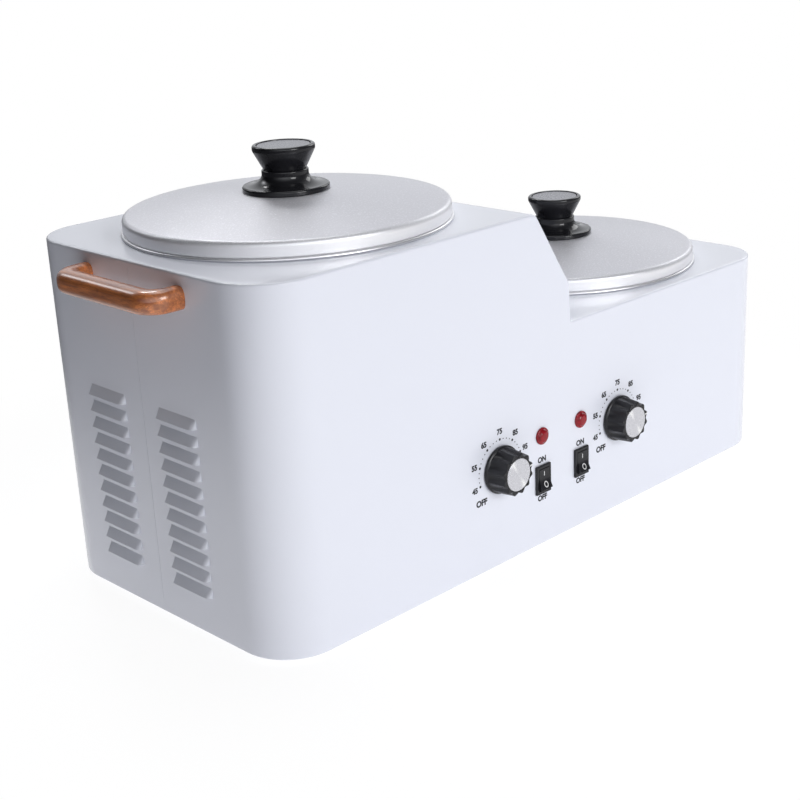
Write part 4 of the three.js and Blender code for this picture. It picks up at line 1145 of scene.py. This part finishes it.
def rocker_part(width):
    """A rocker along +Z: arcs of one radius about the pivot at both ends, and between them a
    face hollowed to a shallow V; the outline is (along, out) and is carried across the width."""
    radius = 8 * MM
    corner, back = 0.48, 0.44
    first = arc_points((0, 0), radius, -back, corner, 12)
    last = arc_points((0, 0), radius, math.pi - corner, math.pi + back, 12)
    along = np.arange(6, -7, -1) * MM
    line = np.vstack((first, np.column_stack((along, rocker_face(along))), last))
    x = np.linspace(-width / 2, width / 2, 5)
    return capped(np.stack([np.column_stack((np.full(len(line), place), line)) for place in x]))


def rocker_face(along):
    """Height of a rocker's hollowed face at a distance from its pivot."""
    return 2.4 * MM + 1.3 * MM * (np.abs(along) / (7.1 * MM)) ** 1.5


def round_grid(number):
    """The border of a grid of point numbers, walked once round."""
    return np.concatenate((number[0, :-1], number[:-1, -1], number[-1, :0:-1], number[:0:-1, 0]))


def lying(plan, ring=False):
    """A mark on a rocker's face, as a closed skin of the mark's plan, 0.02 mm proud and 0.03 mm
    sunk."""
    height = rocker_face(plan[:, :, 1])
    upper = np.dstack((plan, height + 0.02 * MM))
    lower = np.dstack((plan, height - 0.03 * MM))
    faces = patch(upper, closed=ring)[1]
    count = plan.shape[0] * plan.shape[1]
    number = np.arange(count).reshape(plan.shape[:2])
    borders = (number[0], number[-1, ::-1]) if ring else (round_grid(number),)
    walls = [
        np.column_stack((line, line + count, np.roll(line, -1) + count, np.roll(line, -1)))
        for line in borders
    ]
    points = np.vstack((upper.reshape(-1, 3), lower.reshape(-1, 3)))
    return flipped((points, np.vstack((faces, faces[:, ::-1] + count, *walls))))


def handle_part(handle):
    """A wooden bow with its legs at x = 0: between its outer and inner outlines, at each step
    the section is middle + w |cos b|^p across and h |sin b|^p up."""
    outer, inner = handle.span / 2, handle.span / 2 - handle.leg
    bar = handle.reach - handle.bar
    outside = rounded_path(
        [(0, -outer), (handle.reach, -outer + handle.splay, handle.outer_radius),
         (handle.reach, outer - handle.splay, handle.outer_radius), (0, outer)],
        steps=24,
    )
    inside = rounded_path(
        [(0, -inner), (bar, -inner + handle.splay, handle.inner_radius),
         (bar, inner - handle.splay, handle.inner_radius), (0, inner)],
        steps=24,
    )
    steps = np.linspace(0, 1, 121)

    def by_bend(path):
        """The share of turning and walking together, so that both outlines bend in step."""
        step = np.diff(path, axis=0)
        walk = np.linalg.norm(step, axis=1)
        turn = np.abs(np.diff(np.unwrap(np.arctan2(step[:, 1], step[:, 0]))))
        bent = np.concatenate(([0], np.cumsum(turn), [turn.sum()]))
        walked = np.concatenate(([0], np.cumsum(walk)))
        key = bent / bent[-1] + 0.5 * walked / walked[-1]
        return np.column_stack([np.interp(steps * key[-1], key, line) for line in path.T])

    out_line, in_line = by_bend(outside), by_bend(inside)
    around = np.arange(48) * 2 * math.pi / 48
    across = np.sign(np.cos(around)) * np.abs(np.cos(around)) ** 0.72
    upward = np.sign(np.sin(around)) * np.abs(np.sin(around)) ** 0.78
    centre = (out_line + in_line) / 2
    reach = (out_line - in_line) / 2
    flat = centre[:, None] + reach[:, None] * across[None, :, None]
    height = np.repeat((handle.height / 2 * upward)[None], len(steps), axis=0)
    points = np.concatenate((flat, height[:, :, None]), axis=2)
    return [flipped(part) for part in capped(points)]


def print_piece(name, words, size, place):
    """Printed characters on the front: text made a mesh, turned upright and moved to its place."""
    curve = bpy.data.curves.new(name, "FONT")
    curve.body = words
    curve.size = size
    curve.align_x = "CENTER"
    curve.align_y = "CENTER"
    curve.extrude = 0.04 * MM
    curve.offset = size * 0.05
    text = added(name + "_curve", curve)
    bpy.context.view_layer.update()
    seen = text.evaluated_get(bpy.context.evaluated_depsgraph_get())
    mesh = bpy.data.meshes.new_from_object(seen)
    bpy.data.objects.remove(text)
    mesh.name = name
    mesh.materials.clear()
    mesh.transform(Matrix.Translation(Vector(place)) @ Matrix.Rotation(math.pi / 2, 4, "X"))
    finished(name, mesh, "ink", None, "root", 30)


def dot_part(radius, centre):
    """A printed dot: a thin disc towards the front."""
    profile = np.array([(0, -0.02), (radius / MM, -0.02), (radius / MM, 0.05), (0, 0.05)]) * MM
    return on_front(turned(profile, 24), centre)


# Operators

class WarmerOperator:
    """What the operators share."""
    bl_options = {"REGISTER", "UNDO"}

    def execute(self, context):
        self.make()
        return {"FINISHED"}


class WARMER_OT_materials(WarmerOperator, bpy.types.Operator):
    """Makes every finish and gives the carried-over nodes theirs"""
    bl_idname = "warmer.materials"
    bl_label = "Finishes"

    def make(self):
        shade = sizes("colours")
        paint_finish(shade.paint)
        lid_finish(shade.lid)
        pot_finish(shade.pot)
        wood_finish(shade.wood, shade.dark_wood)
        lens_finish(shade.lens)
        for name, black, roughness, grain in (
            ("black_gloss", shade.black, 0.10, 0.02),
            ("black_plastic", shade.black, 0.22, 0.15),
            ("rubber", shade.black, 0.75, 0.4),
            ("ink", shade.ink, 0.45, 0.05),
        ):
            black_finish(name, black, roughness, grain)
        disc_finish("silver_disc", (0.72, 0.72, 0.76), 0.85, 0.22)
        disc_finish("grey_disc", shade.disc, 0.15, 0.22)
        for name, plain, metallic, roughness, scale in (
            ("white_ink", (0.85, 0.85, 0.85), 0, 0.45, 300),
            ("steel", (0.60, 0.61, 0.62), 1, 0.30, 500),
            ("brass", (0.69, 0.52, 0.26), 1, 0.30, 500),
            ("heater", (0.50, 0.47, 0.42), 0.6, 0.45, 220),
            ("insulation", (0.85, 0.80, 0.68), 0, 0.85, 900),
            ("pale_plastic", (0.80, 0.79, 0.74), 0, 0.45, 250),
        ):
            plain_finish(name, plain, metallic, roughness, scale)
        slot_of = {row["node"]: row["material_slot"] for row in frame["record"]["subparts"]}
        for name, node in frame["nodes"].items():
            node.data.materials.clear()
            node.data.materials.append(material(slot_of[name]))


class WARMER_OT_case(WarmerOperator, bpy.types.Operator):
    """Makes the deck, both halves of the case's wall, the feet and the screws underneath"""
    bl_idname = "warmer.case"
    bl_label = "Case"

    def make(self):
        case = sizes("case")
        deck = [shifted(part) for part in deck_parts(case)]
        sheets = [build("deck_skin", deck, "case_paint", "top_deck")]
        for half in ("front", "rear"):
            wall = [shifted(wall_shell(case, half))]
            sheets.append(build(half + "_wall", wall, "case_paint", half + "_shell", sharp=20))
        for sheet in sheets:
            thicken(sheet, case.sheet)
        self.underside()

    def underside(self):
        """The four rubber feet and the pan-head screws that hold the base to the flanges."""
        for place in ("front_left", "front_right", "rear_left", "rear_right"):
            low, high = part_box("foot_" + place)
            centre = ((low[0] + high[0]) / 2, (low[1] + high[1]) / 2, 0)
            profile = rubber_foot_profile((high[0] - low[0]) / 2, high[2])
            foot = [moved(turned(profile, 48), centre)]
            build("rubber_" + place, foot, "rubber", "foot_" + place)
        head = turned(pan_head_profile(), 32)
        inset = HALF_DEPTH - 7 * MM
        heads = [
            moved(head, (x * MM, MIDDLE_Y + side * inset, 0))
            for x in (-150, 0, 150) for side in (-1, 1)
        ]
        build("base_screws", heads, "steel")


class WARMER_OT_handles(WarmerOperator, bpy.types.Operator):
    """Makes the wooden bow handles on both ends"""
    bl_idname = "warmer.handles"
    bl_label = "Handles"

    def make(self):
        handle = sizes("handle")
        for side, sign in (("left", -1), ("right", 1)):
            place = (sign * HALF_LENGTH, MIDDLE_Y, middle("handle_" + side)[2])
            turn = np.array((sign, sign, 1))
            parts = [moved((points * turn, faces), place) for points, faces in handle_part(handle)]
            build("wood_bow_" + side, parts, "wood", "handle_" + side, sharp=50)


class WARMER_OT_pots(WarmerOperator, bpy.types.Operator):
    """Makes the wells, the pots, the lids and their knobs"""
    bl_idname = "warmer.pots"
    bl_label = "Pots and lids"

    def make(self):
        pots, knob = sizes("pots"), sizes("knobs")
        for side in SIDES:
            low, high = (corner[2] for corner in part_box("well_" + side))
            lid_bottom = POT_TOP[side]
            seat = lid_bottom + pots.lid_skirt + pots.lid_rise
            rows = (
                ("well_cup", "well", well_profile(pots, low, high), "pot_aluminium", None, 144),
                ("pot_shell", "pot", pot_profile(pots, POT_BOTTOM[side], POT_TOP[side]),
                 "pot_aluminium", "pot", 144),
                ("lid_shell", "lid", lid_profile(pots, lid_bottom), "lid_aluminium", "lid", 192),
                ("knob_foot", "lid_knob_base", foot_profile(knob, seat), "black_gloss", "lid", 96),
                ("knob_grip", "lid_knob_grip", grip_profile(knob, seat), "black_gloss", "lid", 96),
                ("knob_screw", "lid_knob_screw", screw_profile(pots, seat), "steel", "lid", 32),
                ("knob_inlay", "lid_knob_disc", inlay_profile(knob, seat), "grey_disc", "lid", 72),
            )
            for name, node, profile, finish, body, segments in rows:
                part = moved(turned(profile, segments), (POT_X[side], MIDDLE_Y, 0))
                body = f"{side}_{body}" if body else "root"
                piece = build(f"{name}_{side}", [part], finish, f"{node}_{side}", body)
                if name == "lid_shell":
                    self.paint_skirt_reflection(piece, pots)

    def paint_skirt_reflection(self, lid, pots):
        """The attribute skirt is 1 on the lid's upright edge and 0 on its cone; the lid's finish
        paints the edge near white there, a painted reflection.
        """
        height = points_of(lid)[:, 2]
        share = (height.min() + pots.lid_skirt - height) / pots.lid_shoulder
        carry(lid, "skirt", np.clip(share, 0, 1))


class WARMER_OT_controls(WarmerOperator, bpy.types.Operator):
    """Makes the dial knobs, their discs, the lamps and the rockers"""
    bl_idname = "warmer.controls"
    bl_label = "Controls"

    def make(self):
        knob = sizes("knobs")
        for side in SIDES:
            place = on_wall(DIAL[side])
            body = side + "_dial"
            dial = [on_front(dial_part(knob), place)]
            build("dial_body_" + side, dial, "black_plastic", "dial_knob_" + side, body, 40)
            disc = [on_front(turned(dial_disc_profile(knob), 96), place)]
            cap = build("dial_disc_" + side, disc, "silver_disc", "dial_cap_" + side, body)
            self.streak(cap, place)
            self.index_mark(knob, side, place, body)
            lens = [on_front(turned(lens_profile(knob), 64), on_wall(LAMP[side]))]
            build("lamp_glass_" + side, lens, "red_lens", "lamp_lens_" + side)
            self.rocker(side)

    def streak(self, cap, place):
        """The disc's painted highlight, |cos(a - b)|^60 round its rim: a turned disc's gleam
        painted in as a white streak, carried as an attribute.
        """
        across, _, up = (points_of(cap) - place).T
        away = np.maximum(np.hypot(across, up), 1e-9)
        turn = math.radians(-58)
        # Painted highlight: a fixed white streak, whatever the lights.
        carry(cap, "streak", np.abs((across * math.cos(turn) + up * math.sin(turn)) / away) ** 60)

    def index_mark(self, knob, side, place, body):
        """A white line over the knob's front edge and a little down its side."""
        front, reach, half_width = knob.dial_front, knob.dial_reach, 0.55 * MM
        bars = (
            box_part((knob.dial_cap + 0.5 * MM, -half_width, reach - 0.1 * MM),
                     (front - 0.7 * MM, half_width, reach + 0.02 * MM)),
            box_part((front - 0.9 * MM, -half_width, reach - 3.5 * MM),
                     (front + 0.15 * MM, half_width, reach - 0.6 * MM)),
        )
        turn = math.radians(13)
        spin = np.array((
            (math.cos(turn), math.sin(turn), 0), (-math.sin(turn), math.cos(turn), 0), (0, 0, 1),
        ))
        parts = [on_front((points @ spin, faces), place) for points, faces in bars]
        mark = build("dial_mark_" + side, parts, "white_ink", body=body)
        bevelled(mark, 0.1 * MM)

    def rocker(self, side):
        """A switch's rocker, tilted to its rest, and the white marks on its face."""
        rest, width, body = math.radians(12), 10.4 * MM, side + "_rocker"
        tilt = np.array((
            (1, 0, 0), (0, math.cos(rest), -math.sin(rest)), (0, math.sin(rest), math.cos(rest)),
        ))

        def settled(part):
            points, faces = on_front(part)
            return moved((points @ tilt, faces), on_wall(SWITCH[side]))

        paddle = [settled(part) for part in rocker_part(width)]
        build("rocker_paddle_" + side, paddle, "black_plastic", "switch_rocker_" + side, body, 30)
        bar = np.array([(x, y) for x in (-0.3, 0.3) for y in (2.4, 3.4, 4.4, 5.4)]) * MM
        a = np.arange(40) * 2 * math.pi / 40
        ring = np.stack([
            np.column_stack((r * np.cos(a), -3.9 * MM + 1.15 * r * np.sin(a)))
            for r in (1.35 * MM, 1.95 * MM)
        ])
        marks = [settled(lying(bar.reshape(2, 4, 2))), settled(lying(ring, ring=True))]
        build("rocker_marks_" + side, marks, "white_ink", body=body, merge=0.001 * MM)


class WARMER_OT_print(WarmerOperator, bpy.types.Operator):
    """Prints the dials' scales and the switches' words on the front"""
    bl_idname = "warmer.print"
    bl_label = "Printed marks"

    def make(self):
        dot_step, number_step, off_at = SCALE_TURN / 20, SCALE_TURN / 5, SCALE_START + 26
        for side in SIDES:
            def round_dial(radius, degrees):
                """A place on a circle round the dial."""
                angle = math.radians(degrees)
                x, z = DIAL[side][0], DIAL[side][2]
                return x + radius * math.cos(angle), PRINT_Y, z + radius * math.sin(angle)

            dots = [
                dot_part((0.42 if number % 4 else 0.9) * MM,
                         round_dial(21 * MM, SCALE_START - number * dot_step))
                for number in range(21)
            ]
            build("scale_dots_" + side, dots, "ink")
            for number, words in enumerate(("45", "55", "65", "75", "85", "95")):
                place = round_dial(26.4 * MM, SCALE_START - number * number_step)
                print_piece(f"scale_{words}_{side}", words, 5.2 * MM, place)
            print_piece("scale_off_" + side, "OFF", 5.9 * MM, round_dial(26.5 * MM, off_at))
            for words, rise in (("ON", 14.0), ("OFF", -14.2)):
                place = (SWITCH[side][0], PRINT_Y, SWITCH[side][2] + rise * MM)
                print_piece(f"switch_{words.lower()}_{side}", words, 5.4 * MM, place)


class WARMER_OT_stage(WarmerOperator, bpy.types.Operator):
    """Sets the floor, the lights and the camera"""
    bl_idname = "warmer.stage"
    bl_label = "Stage"

    def make(self):
        self.floor()
        self.world()
        self.lights()
        self.camera()
        bpy.context.scene.view_settings.view_transform = "Standard"

    def floor(self):
        """White for the camera, but for a soft shadow close to the feet."""
        made = Finish("floor")
        shade = sizes("colours").floor
        seen = made.node("ShaderNodeLightPath", output="Is Camera Ray")
        here = made.node("ShaderNodeTexCoord", output="Object")
        away = made.node("ShaderNodeVectorMath", {"operation": "LENGTH"}, {0: here}, output="Value")

        def change(where, start, end, first, last):
            """A smooth step from first to last between two distances."""
            return made.node(
                "ShaderNodeMapRange", {"interpolation_type": "SMOOTHSTEP"},
                {"Value": where, "From Min": start, "From Max": end,
                 "To Min": first, "To Max": last},
            )

        far = change(away, 0.25, 0.50, 0.84, 1.0)
        aside = made.node(
            "ShaderNodeVectorMath", {"operation": "DISTANCE"}, {0: here, 1: (0.35, -0.75, 0)},
            output="Value",
        )
        table = made.mix(change(aside, 1.10, 1.55, 0.0, 1.0), shade, (0.10, 0.10, 0.11))
        glossy = made.node("ShaderNodeLightPath", output="Is Glossy Ray")
        white, mirrored, glow = (
            made.node("ShaderNodeEmission", {}, {"Color": shade, "Strength": strength})
            for shade, strength in (((1, 1, 1, 1), 1.0), (table, 1.0), (table, 0.50))
        )
        matt = made.node("ShaderNodeBsdfDiffuse", {}, {"Color": table})
        matt = made.node("ShaderNodeAddShader", {}, {0: matt, 1: glow})
        mixed = made.node("ShaderNodeMixShader", {}, {0: glossy, 1: matt, 2: mirrored})
        mixed = made.node("ShaderNodeMixShader", {}, {0: seen * far, 1: mixed, 2: white})
        made.node("ShaderNodeOutputMaterial", {}, {"Surface": mixed})
        reach = np.linspace(-6, 6, 9)
        grid_x, grid_y = np.meshgrid(reach, reach)
        mesh = mesh_of("floor", *patch(np.stack((grid_x, grid_y, 0 * grid_x), axis=-1)))
        mesh.materials.append(made.material)
        added("floor", mesh)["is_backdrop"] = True

    def world(self):
        """A dim room, lighter in front and behind on the right, with two bright places that only
        reflections see; plain white for the camera."""
        world = bpy.data.worlds.new("studio")
        bpy.context.scene.world = world
        world.use_nodes = True
        world.node_tree.nodes.clear()
        made = Finish.__new__(Finish)
        made.tree = world.node_tree
        seen = made.node("ShaderNodeLightPath", output="Is Camera Ray")
        where = made.node("ShaderNodeTexCoord", output="Generated")

        def towards(direction, power):
            """How far the view points in a direction: max(d . n, 0) to a power."""
            turn = made.node(
                "ShaderNodeVectorMath", {"operation": "DOT_PRODUCT"}, {0: where, 1: direction},
                output="Value",
            )
            return turn._math("MAXIMUM", turn, 0.0) ** power

        glossy = made.node("ShaderNodeLightPath", output="Is Glossy Ray")
        glow = (
            0.03 + 0.35 * towards((-0.10, -0.95, 0.20), 2.5)
            + 1.0 * towards((0.78, 0.56, 0.28), 2.6)
            + glossy * 2.25 * towards((-0.62, -0.75, 0.05), 4.0)
            + glossy * 5.0 * towards((-0.06, 0.82, 0.57), 90.0)
        )
        room, white = (
            made.node("ShaderNodeBackground", {}, {"Color": (*shade, 1), "Strength": strength})
            for shade, strength in (((0.94, 0.96, 1), glow), ((1, 1, 1), 1.0))
        )
        whole = made.node("ShaderNodeMixShader", {}, {0: seen, 1: room, 2: white})
        made.node("ShaderNodeOutputWorld", {}, {"Surface": whole})

    def lights(self):
        """Four square lamps that point at the part's middle."""
        target = Vector((0, 0, 0.12))
        for name, place, size, power in (
            ("front_box", (-0.15, -2.7, 1.1), 1.1, 34),
            ("key", (0.75, 1.90, 2.40), 0.60, 14),
            ("top_box", (0.3, 0.3, 2.4), 1.2, 12),
            ("side_box", (2.2, 0.2, 1.4), 1.0, 9),
        ):
            lamp = bpy.data.lights.new(name, "AREA")
            lamp.shape = "SQUARE"
            lamp.size = size
            lamp.energy = power
            light = added(name, lamp)
            light.location = place
            light.rotation_euler = (target - Vector(place)).to_track_quat("-Z", "Y").to_euler()

    def camera(self):
        """Looks along azimuth and elevation, rolled a little, from the photograph's place."""
        azimuth, elevation, roll = (math.radians(value) for value in (43.762, -19.486, -2.759))
        forward = Vector((
            math.sin(azimuth) * math.cos(elevation), math.cos(azimuth) * math.cos(elevation),
            math.sin(elevation),
        ))
        level = forward.cross(Vector((0, 0, 1))).normalized()
        upright = level.cross(forward)
        right = level * math.cos(roll) + upright * math.sin(roll)
        up = right.cross(forward)
        place = Vector((-728.07, -723.97 + MIDDLE_Y / MM, 437.92 + CASE_BOTTOM / MM)) * MM
        camera = bpy.data.cameras.new("camera")
        camera.sensor_width = SENSOR
        camera.lens = SENSOR * PHOTO_FOCAL / PHOTO_SIZE
        camera.shift_x = (PHOTO_SIZE / 2 - PHOTO_CENTRE[0]) / PHOTO_SIZE
        camera.shift_y = (PHOTO_CENTRE[1] - PHOTO_SIZE / 2) / PHOTO_SIZE
        camera.clip_end = 50
        taker = added("camera", camera)
        taker.matrix_world = Matrix((
            (right.x, up.x, -forward.x, place.x),
            (right.y, up.y, -forward.y, place.y),
            (right.z, up.z, -forward.z, place.z),
            (0, 0, 0, 1),
        ))
        bpy.context.scene.camera = taker


class WARMER_PT_panel(bpy.types.Panel):
    bl_label = "Wax warmer"
    bl_idname = "WARMER_PT_panel"
    bl_space_type = "VIEW_3D"
    bl_region_type = "UI"
    bl_category = "Wax warmer"

    def draw(self, context):
        for operator in OPERATORS:
            self.layout.operator(operator.bl_idname)
        for group in GROUPS:
            settings = sizes(group)
            box = self.layout.box()
            for key in settings.__annotations__:
                box.prop(settings, key)


GROUPS = {
    "case": WarmerCaseSizes,
    "pots": WarmerPotSizes,
    "knobs": WarmerKnobSizes,
    "handle": WarmerHandleSizes,
    "colours": WarmerColours,
}
OPERATORS = (
    WARMER_OT_materials,
    WARMER_OT_case,
    WARMER_OT_handles,
    WARMER_OT_pots,
    WARMER_OT_controls,
    WARMER_OT_print,
    WARMER_OT_stage,
)


def register():
    for group, kind in GROUPS.items():
        bpy.utils.register_class(kind)
        setattr(bpy.types.Scene, "warmer_" + group, bpy.props.PointerProperty(type=kind))
    for operator in OPERATORS:
        bpy.utils.register_class(operator)
    bpy.utils.register_class(WARMER_PT_panel)


def unregister():
    bpy.utils.unregister_class(WARMER_PT_panel)
    for operator in reversed(OPERATORS):
        bpy.utils.unregister_class(operator)
    for group, kind in GROUPS.items():
        delattr(bpy.types.Scene, "warmer_" + group)
        bpy.utils.unregister_class(kind)


def corners():
    """The model's box as plain lists."""
    return [[float(value) for value in corner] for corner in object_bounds()]


def main():
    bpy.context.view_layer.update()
    register()
    for operator in OPERATORS:
        group, name = operator.bl_idname.split(".")
        getattr(getattr(bpy.ops, group), name)()


if __name__ == "__main__":
    main()
